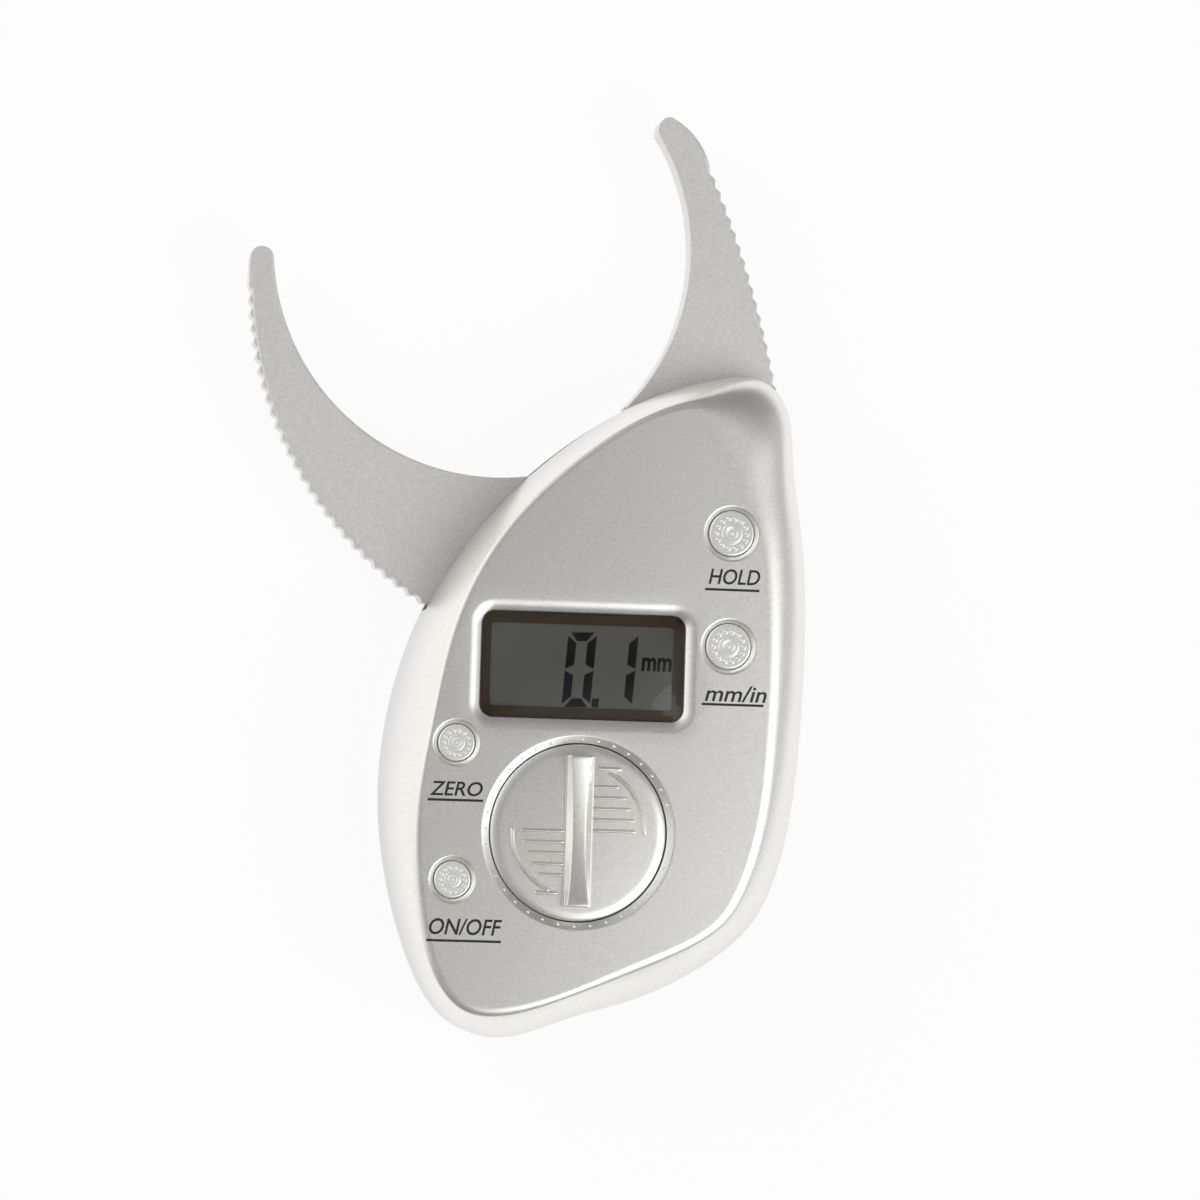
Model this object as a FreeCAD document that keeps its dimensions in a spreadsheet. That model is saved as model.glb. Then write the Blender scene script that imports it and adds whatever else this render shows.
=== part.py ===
import FreeCAD
import Part
import Sketcher
import math
import os

# A skinfold caliper.  +Z points out of the display, +Y towards the jaws.  The
# origin is where the jaw's pivot axis meets the flat back of the housing.

SIZES = (
    # housing outline
    ("head_length", 36.9),          # pivot axis to the top of the housing
    ("tail_margin", 19.15),         # battery recess to the bottom of the housing
    ("left_margin", 7.45),          # left buttons' recess to the left side
    ("right_margin", 10.0),         # right buttons' recess to the right side
    ("top_edge_round", 0.8),
    ("back_edge_round", 3.5),
    ("cover_wall", 2.0),
    ("floor_wall", 2.0),
    ("roof_wall", 2.0),
    # heights of the stack, from the back to the top face
    ("spring_room", 3.0),           # floor to the underside of the jaws
    ("jaw_thickness", 8.0),
    ("slot_clearance", 0.25),
    ("rotor_thickness", 0.8),
    ("encoder_gap", 0.4),
    ("board_thickness", 1.6),
    ("strip_height", 4.7),          # rubber contact strips under the display
    ("lcd_thickness", 2.4),
    ("film_thickness", 0.3),
    ("window_flange", 0.8),
    ("window_recess", 0.8),         # top face down to the window
    # jaws
    ("inner_radius", 39.5),         # hollow edge of both jaws
    ("moving_outer_radius", 65.5),
    ("fixed_outer_radius", 175.9),
    ("moving_tip_x", -57.55),       # ends of the moving jaw's hollow edge
    ("moving_tip_y", 54.8),
    ("moving_root_x", -9.23),
    ("moving_root_y", 18.99),
    ("moving_tip_width", 4.15),
    ("moving_heel_x", -30.09),      # where its outer edge meets the hub's tail
    ("moving_heel_y", -4.26),
    ("moving_tip_smooth", 6.0),     # outer edge left smooth next to the tip
    ("fixed_tip_x", 9.1),
    ("fixed_tip_y", 79.3),
    ("fixed_root_x", 4.73),
    ("fixed_root_y", 31.2),
    ("fixed_nose_rise", 3.12),      # foremost point, from the end of the hollow edge
    ("fixed_nose_reach", 2.2),
    ("fixed_grip_x", 18.3),
    ("fixed_grip_y", 74.1),
    ("fixed_heel_x", 31.25),
    ("fixed_heel_y", 35.27),
    ("root_radius", 24.2),          # fixed jaw's root stays outside this circle
    ("root_length", 5.0),           # and above this height over the pivot
    ("root_clearance", 0.3),
    ("notch_start", 41.5),          # side slot of the housing, about the pivot
    ("notch_end", 190.5),
    ("grip_pitch", 2.55),           # finger serrations
    ("grip_depth", 0.45),
    ("hub_radius", 9.4),
    # pivot
    ("pin_radius", 2.5),
    ("pin_clearance", 0.05),
    ("pin_length", 17.5),
    ("boss_radius", 4.2),
    ("washer_thickness", 0.3),
    ("washer_radius", 5.2),
    ("rotor_radius", 9.0),
    ("spring_wire", 0.7),
    ("spring_radius", 6.2),
    ("spring_turns", 2.25),
    ("spring_leg", 9.0),
    ("spring_peg", 0.8),
    ("spring_gap", 0.1),            # floor to the lowest turn
    ("spring_clearance", 0.5),      # highest turn to the jaw
    # display
    ("centre_line_x", -3.0),        # display and battery cover, left of the pivot
    ("window_width", 35.3),
    ("window_length", 18.35),
    ("window_corner", 2.3),
    ("window_from_boss", 1.4),
    ("window_gap", 0.1),
    ("window_bevel", 1.2),
    ("window_lip", 1.0),
    ("view_width", 31.5),
    ("view_length", 14.1),
    ("view_corner", 0.6),
    ("lcd_margin", 1.6),            # glass beyond the visible field
    ("holder_wall", 0.8),
    ("strip_width", 2.0),
    ("chip_radius", 4.0),
    ("chip_height", 1.2),
    # battery
    ("dial_from_window", 2.78),
    ("dial_radius", 15.2),
    ("dial_gap", 0.2),
    ("dial_bevel", 1.25),
    ("dial_bevel_depth", 0.6),
    ("dial_plate", 2.0),
    ("dial_roll", 0.8),             # rolled rim of the cover
    ("dial_drop", 0.3),             # top face down to the rim of the cover
    ("bar_width", 4.7),
    ("bar_length", 25.6),
    ("bar_height", 2.3),
    ("bar_waist", 1.7),
    ("skirt_outer", 13.6),
    ("skirt_inner", 12.2),
    ("skirt_height", 2.7),
    ("tab_reach", 1.2),
    ("tab_height", 1.1),
    ("tab_angle", 30.0),
    ("tab_gap_angle", 36.0),        # opening in the ledge that a tab lifts out of
    ("tab_clearance", 0.3),
    ("unlock_angle", 40.0),
    ("well_wall", 1.6),
    ("well_depth", 6.8),            # top face down to the floor of the well
    ("cell_radius", 10.0),
    ("cell_thickness", 3.2),
    ("cell_step", 0.4),             # height of the cell's narrower negative face
    ("cell_seat", 0.6),
    ("cell_clearance", 0.3),
    ("nest_wall", 1.1),
    ("nest_height", 2.2),
    ("contact_thickness", 0.25),
    ("contact_width", 3.0),
    ("contact_clearance", 0.3),
    ("presser_radius", 5.0),        # pad under the cover that holds the cell down
    # buttons
    ("large_cap_radius", 3.9),
    ("small_cap_radius", 3.15),
    ("cap_gap", 0.12),
    ("cap_flange", 0.9),
    ("flange_thickness", 0.8),
    ("cap_drop", 0.1),              # top face down to the cap
    ("dish_width", 0.7),
    ("dish_depth", 0.6),
    ("stem_radius", 1.5),
    ("button_travel", 0.4),
    ("buttons_from_window", 2.75),
    ("buttons_from_dial", 0.8),
    ("unit_button_rise", 4.2),      # above the middle of the display
    ("right_button_pitch", 19.5),
    ("zero_button_rise", 14.8),     # above the middle of the battery cover
    ("left_button_pitch", 23.4),
    ("switch_width", 6.0),
    ("switch_height", 3.5),
    ("plunger_radius", 1.7),
    ("plunger_stroke", 0.7),
    # screws
    ("screw_shank", 1.15),
    ("screw_head", 2.2),
    ("screw_head_height", 1.7),
    ("screw_clearance", 0.15),
    ("screw_boss", 3.2),
    ("screw_inset", 7.5),
    ("screw_reach", 8.0),           # into the front cover
    ("screw_well", 3.0),
    ("board_screw_shank", 0.9),
    ("board_screw_head", 1.7),
    ("board_screw_head_height", 0.9),
    ("board_boss", 2.2),
    ("board_screw_reach", 4.0),
    ("board_clearance", 0.4),
    ("board_margin", 5.0),
)

# Housing outline, anticlockwise from the right side: each point of the rim and
# the point of the top face that it leans in to.  Across is a share of the width
# on that side of the pivot, along a share of the length above or below it.
OUTLINE = (
    # rim across, rim along, top across, top along
    (1.000, -0.107, 0.829, -0.107),
    (0.970, 0.244, 0.804, 0.222),
    (0.916, 0.621, 0.761, 0.501),
    (0.870, 0.878, 0.696, 0.683),
    (0.766, 0.984, 0.598, 0.797),
    (0.546, 0.984, 0.451, 0.851),
    (0.274, 0.902, 0.242, 0.799),
    (-0.135, 0.661, -0.088, 0.599),
    (-0.539, 0.282, -0.467, 0.233),
    (-0.801, -0.054, -0.685, -0.080),
    (-0.975, -0.314, -0.801, -0.326),
    (-1.000, -0.489, -0.854, -0.490),
    (-0.901, -0.750, -0.826, -0.745),
    (-0.790, -0.879, -0.749, -0.865),
    (-0.646, -0.965, -0.613, -0.933),
    (-0.436, -1.000, -0.436, -0.942),
    (-0.088, -0.958, -0.122, -0.902),
    (0.226, -0.912, 0.177, -0.843),
    (0.609, -0.818, 0.508, -0.770),
    (0.804, -0.729, 0.658, -0.701),
    (0.891, -0.640, 0.739, -0.609),
    (0.984, -0.372, 0.821, -0.360),
)
BELLY_HEIGHT = 0.55     # share of the cover's height up to which the side stays full
BELLY_LEAN = 0.30       # share of the lean reached there

# Screws stand in from the rim, at these points of the outline; a half is midway
# to the next point.
COVER_SCREWS = (14, 18, 9.5, 21.5, 5)
JAW_SCREWS = (1, 6)
HEAD_SCREW = 5          # the cover screw that passes through the fixed jaw
HEAD_CORNER = 3.5       # the corner where the fixed jaw's outer edge enters

TABS = 3                # bayonet tabs of the battery cover
BAR_TAPER = 0.9         # finger bar, top width as a share of its foot
RECESS_DEPTH = 0.5      # cross recess of a screw, as shares of its head
RECESS_WIDTH = 0.25
HUB_FRONT = 48.0        # where the moving jaw's edges meet its hub, in degrees
HUB_BACK = 255.0
MOVING_TIP_BULGE = 0.45
FIXED_TIP_BULGE = 0.26
FIXED_OUTER_BULGE = 0.11
SPRING_END = 60.0       # where the spring's upper leg leaves the coil, in degrees
STRIP_SHARE = 0.9       # contact strips, length as a share of the glass
PRESS = 0.02            # a pressed or screwed fit, drawn with this gap
LEVEL_TOLERANCE = 0.01  # edges this near to a level belong to it

doc = FreeCAD.newDocument("SkinfoldCaliper")
sheet = doc.addObject("Spreadsheet::Sheet", "Sizes")
for row, (alias, value) in enumerate(SIZES, start=1):
    sheet.set(f"A{row}", alias)
    sheet.set(f"B{row}", str(value))
    sheet.setAlias(f"B{row}", alias)
doc.recompute()


# Sizes worked out from the sheet, kept as expressions so that objects follow them.
def total(*terms):
    return "(" + " + ".join(terms) + ")"


def less(first, second):
    return f"({first} - {second})"


def size(alias):
    return "Sizes." + alias


def mm(expression):
    return float(sheet.evalExpression(expression))


FLOOR_TOP = size("floor_wall")
JAW_BOTTOM = total(FLOOR_TOP, size("spring_room"))
JAW_TOP = total(JAW_BOTTOM, size("jaw_thickness"))
PARTING = total(JAW_TOP, size("slot_clearance"))
ROTOR_TOP = total(JAW_TOP, size("rotor_thickness"))
BOARD_BOTTOM = total(ROTOR_TOP, size("encoder_gap"))
BOARD_TOP = total(BOARD_BOTTOM, size("board_thickness"))
LCD_BOTTOM = total(BOARD_TOP, size("strip_height"))
LCD_TOP = total(LCD_BOTTOM, size("lcd_thickness"))
WINDOW_BOTTOM = total(LCD_TOP, size("film_thickness"))
ROOF = total(WINDOW_BOTTOM, size("window_flange"))
TOP = total(ROOF, size("roof_wall"))
WINDOW_TOP = less(TOP, size("window_recess"))
WELL_FLOOR = less(TOP, size("well_depth"))
CELL_BOTTOM = total(WELL_FLOOR, size("cell_seat"))
CELL_TOP = total(CELL_BOTTOM, size("cell_thickness"))
DIAL_TOP = less(TOP, size("dial_drop"))
DIAL_BOTTOM = less(DIAL_TOP, size("dial_plate"))
SKIRT_BOTTOM = less(DIAL_BOTTOM, size("skirt_height"))
SCREW_SEAT = size("screw_well")

WASHER_BOTTOM = less(JAW_BOTTOM, size("washer_thickness"))
PIN_BOTTOM = f"({FLOOR_TOP} / 2)"
PIN_TOP = total(PIN_BOTTOM, size("pin_length"))
PIN_CHAMFER = size("slot_clearance")
SPRING_BOTTOM = total(FLOOR_TOP, size("spring_gap"))
SPRING_TOP = less(JAW_BOTTOM, size("spring_clearance"))
JAW_SCREW_TIP = total(FLOOR_TOP, size("pin_clearance"))
DIAL_ROLL = size("dial_roll")

HOLE_RADIUS = total(size("dial_radius"), size("dial_gap"))
RING_RADIUS = total(HOLE_RADIUS, size("dial_bevel"))
CENTRE_X = size("centre_line_x")
WINDOW_Y = f"(-{size('boss_radius')} - {size('window_from_boss')} - {size('window_length')} / 2)"
DIAL_Y = less(WINDOW_Y, total(f"{size('window_length')} / 2", size("dial_from_window"), RING_RADIUS))
MINUS_X = total(CENTRE_X, f"{size('cell_radius')} / 2")
PLUS_X = less(CENTRE_X, total(size("cell_radius"), f"{size('contact_thickness')} / 2"))
LARGE_DISH = total(size("large_cap_radius"), size("cap_gap"), size("dish_width"))
SMALL_DISH = total(size("small_cap_radius"), size("cap_gap"), size("dish_width"))
UNIT_X = total(CENTRE_X, f"{size('window_width')} / 2", size("buttons_from_window"), LARGE_DISH)
UNIT_Y = total(WINDOW_Y, size("unit_button_rise"))
HOLD_Y = total(UNIT_Y, size("right_button_pitch"))
ZERO_X = less(CENTRE_X, total(RING_RADIUS, size("buttons_from_dial"), SMALL_DISH))
ZERO_Y = total(DIAL_Y, size("zero_button_rise"))
POWER_Y = less(ZERO_Y, size("left_button_pitch"))

FLANGE_TOP = less(ROOF, size("window_gap"))
FLANGE_BOTTOM = less(FLANGE_TOP, size("flange_thickness"))
FLANGE_ROOM = less(FLANGE_BOTTOM, total(size("button_travel"), size("cell_clearance")))

BUTTONS = {
    "hold": ("large_cap_radius", UNIT_X, HOLD_Y),
    "unit": ("large_cap_radius", UNIT_X, UNIT_Y),
    "zero": ("small_cap_radius", ZERO_X, ZERO_Y),
    "power": ("small_cap_radius", ZERO_X, POWER_Y),
}

RIGHT_WIDTH = mm(total(UNIT_X, LARGE_DISH, size("right_margin")))
LEFT_WIDTH = -mm(less(less(ZERO_X, SMALL_DISH), size("left_margin")))
HEAD = mm(size("head_length"))
TAIL = -mm(less(less(DIAL_Y, RING_RADIUS), size("tail_margin")))
LCD_WIDTH = total(size("view_width"), f"2 * {size('lcd_margin')}")
LCD_LENGTH = total(size("view_length"), f"2 * {size('lcd_margin')}")
BOARD_SCREWS = (
    (mm(UNIT_X), mm(f"({HOLD_Y} + {UNIT_Y}) / 2")),
    (mm(ZERO_X), mm(f"({ZERO_Y} + {POWER_Y}) / 2")),
    (mm(f"2 * {CENTRE_X} - {ZERO_X}"), mm(f"({ZERO_Y} + {POWER_Y}) / 2")),
)
BOARD_HEAD = mm(total(HOLD_Y, size("board_margin")))


# Helpers for bound objects
def check(thing):
    if "Invalid" in thing.State or "Error" in thing.State:
        raise RuntimeError(thing.Label + " failed to recompute")


def place(thing, x="0", y="0", z="0"):
    thing.setExpression("Placement.Base.x", x)
    thing.setExpression("Placement.Base.y", y)
    thing.setExpression("Placement.Base.z", z)
    return thing


def cylinder(name, radius, bottom, top, x="0", y="0"):
    thing = doc.addObject("Part::Cylinder", name)
    thing.setExpression("Radius", radius)
    thing.setExpression("Height", less(top, bottom))
    return place(thing, x, y, bottom)


def block(name, width, length, bottom, top, x="0", y="0"):
    thing = doc.addObject("Part::Box", name)
    thing.setExpression("Length", width)
    thing.setExpression("Width", length)
    thing.setExpression("Height", less(top, bottom))
    return place(thing, f"{x} - ({width}) / 2", f"{y} - ({length}) / 2", bottom)


def fuse(name, things):
    thing = doc.addObject("Part::MultiFuse", name)
    thing.Shapes = things
    return thing


def cut(name, base, tools):
    tool = tools[0]
    if len(tools) > 1:
        tool = fuse(name + "_tools", tools)
    thing = doc.addObject("Part::Cut", name)
    thing.Base = base
    thing.Tool = tool
    return thing


def group(name, things):
    thing = doc.addObject("Part::Compound", name)
    thing.Links = things
    return thing


def feature(name, shape):
    thing = doc.addObject("Part::Feature", name)
    thing.Shape = shape
    return thing


def origin_plane(body, role):
    for plane in body.Origin.OriginFeatures:
        if plane.Role == role:
            return plane
    raise RuntimeError(role)


def closed_sketch(body, name, role, points):
    sketch = body.newObject("Sketcher::SketchObject", name)
    sketch.AttachmentSupport = (origin_plane(body, role), [""])
    sketch.MapMode = "FlatFace"
    corners = [FreeCAD.Vector(mm(across), mm(up), 0) for across, up in points]
    for index, corner in enumerate(corners):
        following = corners[(index + 1) % len(corners)]
        sketch.addGeometry(Part.LineSegment(corner, following), False)
    for index in range(len(corners)):
        following = (index + 1) % len(corners)
        sketch.addConstraint(Sketcher.Constraint("Coincident", index, 2, following, 1))
    for index, (across, up) in enumerate(points):
        for kind, distance in (("DistanceX", across), ("DistanceY", up)):
            held = Sketcher.Constraint(kind, -1, 1, index, 1, mm(distance))
            number = sketch.addConstraint(held)
            sketch.setExpression(f"Constraints[{number}]", distance)
    return sketch


# A body whose closed profile of (radius, height) points is turned about its own Z axis
def turned(name, profile, x="0", y="0"):
    body = doc.addObject("PartDesign::Body", name)
    sketch = closed_sketch(body, name + "_profile", "XZ_Plane", profile)
    turn = body.newObject("PartDesign::Revolution", name + "_turn")
    turn.Profile = sketch
    turn.ReferenceAxis = (sketch, ["V_Axis"])
    turn.Angle = 360
    return place(body, x, y)


# Helpers for the free forms
def polar(radius, degrees, centre=(0, 0), height=0):
    angle = math.radians(degrees)
    x = centre[0] + radius * math.cos(angle)
    y = centre[1] + radius * math.sin(angle)
    return FreeCAD.Vector(x, y, height)


def disc(radius, bottom, top, x=0, y=0):
    return Part.makeCylinder(radius, top - bottom, FreeCAD.Vector(x, y, bottom))


def cone(low_radius, high_radius, bottom, top, x, y):
    return Part.makeCone(low_radius, high_radius, top - bottom, FreeCAD.Vector(x, y, bottom))


def pie(radius, bottom, top, start, sweep, x=0, y=0):
    wedge = Part.makeCylinder(
        radius, top - bottom, FreeCAD.Vector(0, 0, bottom), FreeCAD.Vector(0, 0, 1), sweep
    )
    wedge.rotate(FreeCAD.Vector(), FreeCAD.Vector(0, 0, 1), start)
    wedge.translate(FreeCAD.Vector(x, y, 0))
    return wedge


def rounded(width, length, corner, x, y, height):
    half_width = width / 2 - corner
    half_length = length / 2 - corner
    edges = []
    last = None
    first = None
    for quarter, (side, along) in enumerate(((1, 1), (-1, 1), (-1, -1), (1, -1))):
        centre = (x + side * half_width, y + along * half_length)
        start = polar(corner, 90 * quarter, centre, height)
        middle = polar(corner, 90 * quarter + 45, centre, height)
        end = polar(corner, 90 * quarter + 90, centre, height)
        if last is None:
            first = start
        else:
            edges.append(Part.makeLine(last, start))
        edges.append(Part.Arc(start, middle, end).toShape())
        last = end
    edges.append(Part.makeLine(last, first))
    return Part.Wire(edges)


def slab(width, length, corner, bottom, top, x, y):
    face = Part.Face(rounded(width, length, corner, x, y, bottom))
    return face.extrude(FreeCAD.Vector(0, 0, top - bottom))


def spline(points, parameters):
    curve = Part.BSplineCurve()
    curve.interpolate(Points=points, PeriodicFlag=True, Parameters=parameters)
    return curve


def outline_curves():
    rim = []
    top = []
    for rim_across, rim_along, top_across, top_along in OUTLINE:
        for across, along, points in ((rim_across, rim_along, rim), (top_across, top_along, top)):
            width = RIGHT_WIDTH if across > 0 else LEFT_WIDTH
            length = HEAD if along > 0 else TAIL
            points.append(FreeCAD.Vector(across * width, along * length, 0))
    parameters = [0.0]
    for index, point in enumerate(rim):
        following = rim[(index + 1) % len(rim)]
        parameters.append(parameters[-1] + point.distanceToPoint(following))
    return spline(rim, parameters), spline(top, parameters), parameters


RIM, TOP_EDGE, STATIONS = outline_curves()


# A point of the outline, leaning in by a share of the way to the top face's edge
# and moved in by an inset.  A whole station is a point of OUTLINE.
def outline_point(station, lean, inset, height=0):
    index = int(station)
    share = station - index
    parameter = STATIONS[index] * (1 - share) + STATIONS[index + 1] * share
    point = RIM.value(parameter) * (1 - lean) + TOP_EDGE.value(parameter) * lean
    rim_way = RIM.getD1(parameter)[1]
    top_way = TOP_EDGE.getD1(parameter)[1]
    way = rim_way * (1 - lean) + top_way * lean
    inward = FreeCAD.Vector(-way.y, way.x, 0).normalize()
    return point + inward * inset + FreeCAD.Vector(0, 0, height)


def outline(lean, inset, height):
    points = []
    for index in range(2 * len(OUTLINE)):
        points.append(outline_point(index / 2, lean, inset, height))
    curve = Part.BSplineCurve()
    curve.interpolate(Points=points, PeriodicFlag=True)
    return Part.Wire(curve.toShape())


def prism(lean, inset, bottom, top):
    face = Part.Face(outline(lean, inset, bottom))
    return face.extrude(FreeCAD.Vector(0, 0, top - bottom))


# The front cover's solid: full sides that roll over to the top face
def hood(inset, bottom, top):
    belly = bottom + BELLY_HEIGHT * (top - bottom)
    sections = [
        outline(0, inset, bottom),
        outline(BELLY_LEAN, inset, belly),
        outline(1, inset, top),
    ]
    return Part.makeLoft(sections, True)


def edges_at(shape, height):
    found = []
    for edge in shape.Edges:
        if all(abs(point.z - height) < LEVEL_TOLERANCE for point in edge.discretize(5)):
            found.append(edge)
    return found


def join(shapes):
    return shapes[0].multiFuse(shapes[1:])


def screw_places(stations):
    return [outline_point(station, 0, mm(size("screw_inset"))) for station in stations]


# Housing
def front_posts():
    roof = mm(ROOF)
    posts = [disc(mm(size("boss_radius")), mm(BOARD_TOP) + mm(size("encoder_gap")), roof)]
    for spot in screw_places(COVER_SCREWS):
        posts.append(disc(mm(size("screw_boss")), mm(PARTING), roof, spot.x, spot.y))
    for x, y in BOARD_SCREWS:
        posts.append(disc(mm(size("board_boss")), mm(BOARD_TOP), roof, x, y))
    well_radius = mm(total(HOLE_RADIUS, size("well_wall")))
    well_bottom = mm(less(WELL_FLOOR, size("well_wall")))
    posts.append(disc(well_radius, well_bottom, roof, mm(CENTRE_X), mm(DIAL_Y)))
    return posts


# What the battery compartment takes out of the front cover
def battery_well():
    x, y = mm(CENTRE_X), mm(DIAL_Y)
    floor, top = mm(WELL_FLOOR), mm(TOP)
    well = disc(mm(HOLE_RADIUS), floor, top, x, y)
    bevel_foot = top - mm(size("dial_bevel_depth"))
    well = well.fuse(cone(mm(HOLE_RADIUS), mm(RING_RADIUS), bevel_foot, top, x, y))

    # bayonet ledge, with a gap for each tab where the cover lifts out
    tab_room = mm(size("tab_clearance"))
    ledge_bottom = mm(total(SKIRT_BOTTOM, size("tab_height"))) + tab_room
    ledge_top = mm(DIAL_BOTTOM) - tab_room
    ledge = disc(mm(HOLE_RADIUS), ledge_bottom, ledge_top, x, y)
    ledge = ledge.cut(disc(mm(size("skirt_outer")) + tab_room, ledge_bottom, ledge_top, x, y))
    tab_radius = mm(total(size("skirt_outer"), size("tab_reach"))) + tab_room
    gap_angle = mm(size("tab_gap_angle"))
    for tab in range(TABS):
        start = 360 / TABS * tab + mm(size("unlock_angle")) - gap_angle / 2
        ledge = ledge.cut(pie(tab_radius, ledge_bottom, ledge_top, start, gap_angle, x, y))

    # ring that holds the coin cell
    nest_radius = mm(total(size("cell_radius"), size("cell_clearance")))
    nest_top = floor + mm(size("nest_height"))
    nest = disc(nest_radius + mm(size("nest_wall")), floor, nest_top, x, y)
    nest = nest.cut(disc(nest_radius, floor, nest_top, x, y))
    return well.cut(ledge).cut(nest)


def contact_slots():
    room = 2 * mm(size("contact_clearance"))
    width = mm(size("contact_width")) + room
    thick = mm(size("contact_thickness")) + room
    bottom = mm(less(WELL_FLOOR, size("well_wall")))
    slots = []
    for x, top in ((mm(MINUS_X), mm(WELL_FLOOR)), (mm(PLUS_X), mm(CELL_TOP))):
        corner = FreeCAD.Vector(x - thick / 2, mm(DIAL_Y) - width / 2, bottom)
        slots.append(Part.makeBox(thick, width, top - bottom, corner))
    return slots


def window_opening():
    x, y = mm(CENTRE_X), mm(WINDOW_Y)
    width, length = mm(size("window_width")), mm(size("window_length"))
    corner, bevel = mm(size("window_corner")), mm(size("window_bevel"))
    low, high = mm(WINDOW_TOP), mm(TOP)
    opening = slab(width, length, corner, mm(ROOF), high, x, y)
    foot = rounded(width, length, corner, x, y, low)
    mouth = rounded(width + 2 * bevel, length + 2 * bevel, corner + bevel, x, y, high)
    return opening.fuse(Part.makeLoft([foot, mouth], True, True))


def button_openings():
    openings = []
    top = mm(TOP)
    for cap_radius, x, y in BUTTONS.values():
        hole = mm(total(size(cap_radius), size("cap_gap")))
        dish = hole + mm(size("dish_width"))
        openings.append(disc(hole, mm(ROOF), top, mm(x), mm(y)))
        room = mm(total(size(cap_radius), size("cap_flange"), size("cell_clearance")))
        openings.append(disc(room, mm(FLANGE_ROOM), mm(ROOF), mm(x), mm(y)))
        openings.append(cone(hole, dish, top - mm(size("dish_depth")), top, mm(x), mm(y)))
    return openings


def front_cover():
    bottom, roof, top = mm(PARTING), mm(ROOF), mm(TOP)
    body = hood(0, bottom, top)
    body = body.makeFillet(mm(size("top_edge_round")), edges_at(body, top))
    cavity = hood(mm(size("cover_wall")), bottom, roof)
    for post in front_posts():
        cavity = cavity.cut(post)
    body = body.cut(cavity)
    tools = [battery_well(), window_opening()] + button_openings() + contact_slots()
    shank = mm(size("screw_shank")) + PRESS
    reach = bottom + mm(size("screw_reach")) + PRESS
    for spot in screw_places(COVER_SCREWS):
        tools.append(disc(shank, bottom, reach, spot.x, spot.y))
    board_shank = mm(size("board_screw_shank")) + PRESS
    board_top = mm(BOARD_TOP)
    board_reach = board_top + mm(size("board_screw_reach")) + PRESS
    for x, y in BOARD_SCREWS:
        tools.append(disc(board_shank, board_top, board_reach, x, y))
    tools.append(disc(mm(size("pin_radius")) + PRESS, board_top, mm(PIN_TOP) + PRESS))
    for tool in tools:
        body = body.cut(tool)
    return feature("front_cover", body)


def rear_posts():
    parting, seat = mm(PARTING), mm(JAW_BOTTOM)
    boss = mm(size("screw_boss"))
    posts = [disc(mm(size("boss_radius")), 0, mm(WASHER_BOTTOM))]
    for station, spot in zip(COVER_SCREWS, screw_places(COVER_SCREWS)):
        height = seat if station == HEAD_SCREW else parting
        posts.append(disc(boss, 0, height, spot.x, spot.y))
    for spot in screw_places(JAW_SCREWS):
        posts.append(disc(boss, 0, seat, spot.x, spot.y))
    leg_end, side, _ = spring_leg_ends()[0]
    stop = leg_end + side
    stop_top = mm(SPRING_BOTTOM) + mm(size("spring_wire"))
    posts.append(disc(mm(size("spring_peg")), 0, stop_top, stop.x, stop.y))
    return posts


def rear_cover():
    parting, floor, wall = mm(PARTING), mm(FLOOR_TOP), mm(size("cover_wall"))
    body = prism(0, 0, 0, parting)
    body = body.makeFillet(mm(size("back_edge_round")), edges_at(body, 0))
    cavity = prism(0, wall, floor, parting)
    for post in rear_posts():
        cavity = cavity.cut(post)
    body = body.cut(cavity)
    slot_bottom = mm(less(JAW_BOTTOM, size("slot_clearance")))
    start = mm(size("notch_start"))
    slot = pie(TAIL, slot_bottom, parting, start, mm(size("notch_end")) - start)
    slot = slot.cut(prism(0, wall, slot_bottom, parting))
    tools = [slot, disc(mm(size("pin_radius")) + PRESS, mm(PIN_BOTTOM), mm(WASHER_BOTTOM))]
    clearance = mm(size("screw_clearance"))
    seat = mm(SCREW_SEAT)
    for spot in screw_places(COVER_SCREWS):
        tools.append(disc(mm(size("screw_head")) + clearance, 0, seat, spot.x, spot.y))
        tools.append(disc(mm(size("screw_shank")) + clearance, 0, parting, spot.x, spot.y))
    shank = mm(size("screw_shank")) + PRESS
    for spot in screw_places(JAW_SCREWS):
        tools.append(disc(shank, mm(JAW_SCREW_TIP) - PRESS, mm(JAW_BOTTOM), spot.x, spot.y))
    for tool in tools:
        body = body.cut(tool)
    return feature("rear_cover", body)


# Jaws
# The centre of a circle that passes two points and bulges to the right of the way
# from the first to the last
def centre_of(first, last, radius):
    chord = last - first
    half = chord.Length / 2
    left = FreeCAD.Vector(-chord.y, chord.x, 0).normalize()
    return (first + last) * 0.5 + left * math.sqrt(radius ** 2 - half ** 2)


def sweep_of(centre, first, last):
    start, end = first - centre, last - centre
    return math.atan2(start.x * end.y - start.y * end.x, start * end)


def along_arc(centre, first, last, share):
    start = first - centre
    angle = math.atan2(start.y, start.x) + sweep_of(centre, first, last) * share
    return polar(start.Length, math.degrees(angle), (centre.x, centre.y))


def arc_edge(first, last, radius):
    centre = centre_of(first, last, radius)
    return Part.Arc(first, along_arc(centre, first, last, 0.5), last).toShape()


# Finger serrations: a row of shallow hollows between crests that stand on the arc
def grip_edges(first, last, radius):
    centre = centre_of(first, last, radius)
    length = radius * abs(sweep_of(centre, first, last))
    count = max(1, round(length / mm(size("grip_pitch"))))
    edges = []
    for notch in range(count):
        start = along_arc(centre, first, last, notch / count)
        end = along_arc(centre, first, last, (notch + 1) / count)
        middle = along_arc(centre, first, last, (notch + 0.5) / count)
        inward = (centre - middle).normalize()
        valley = middle + inward * mm(size("grip_depth"))
        edges.append(Part.Arc(start, valley, end).toShape())
    return edges


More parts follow.
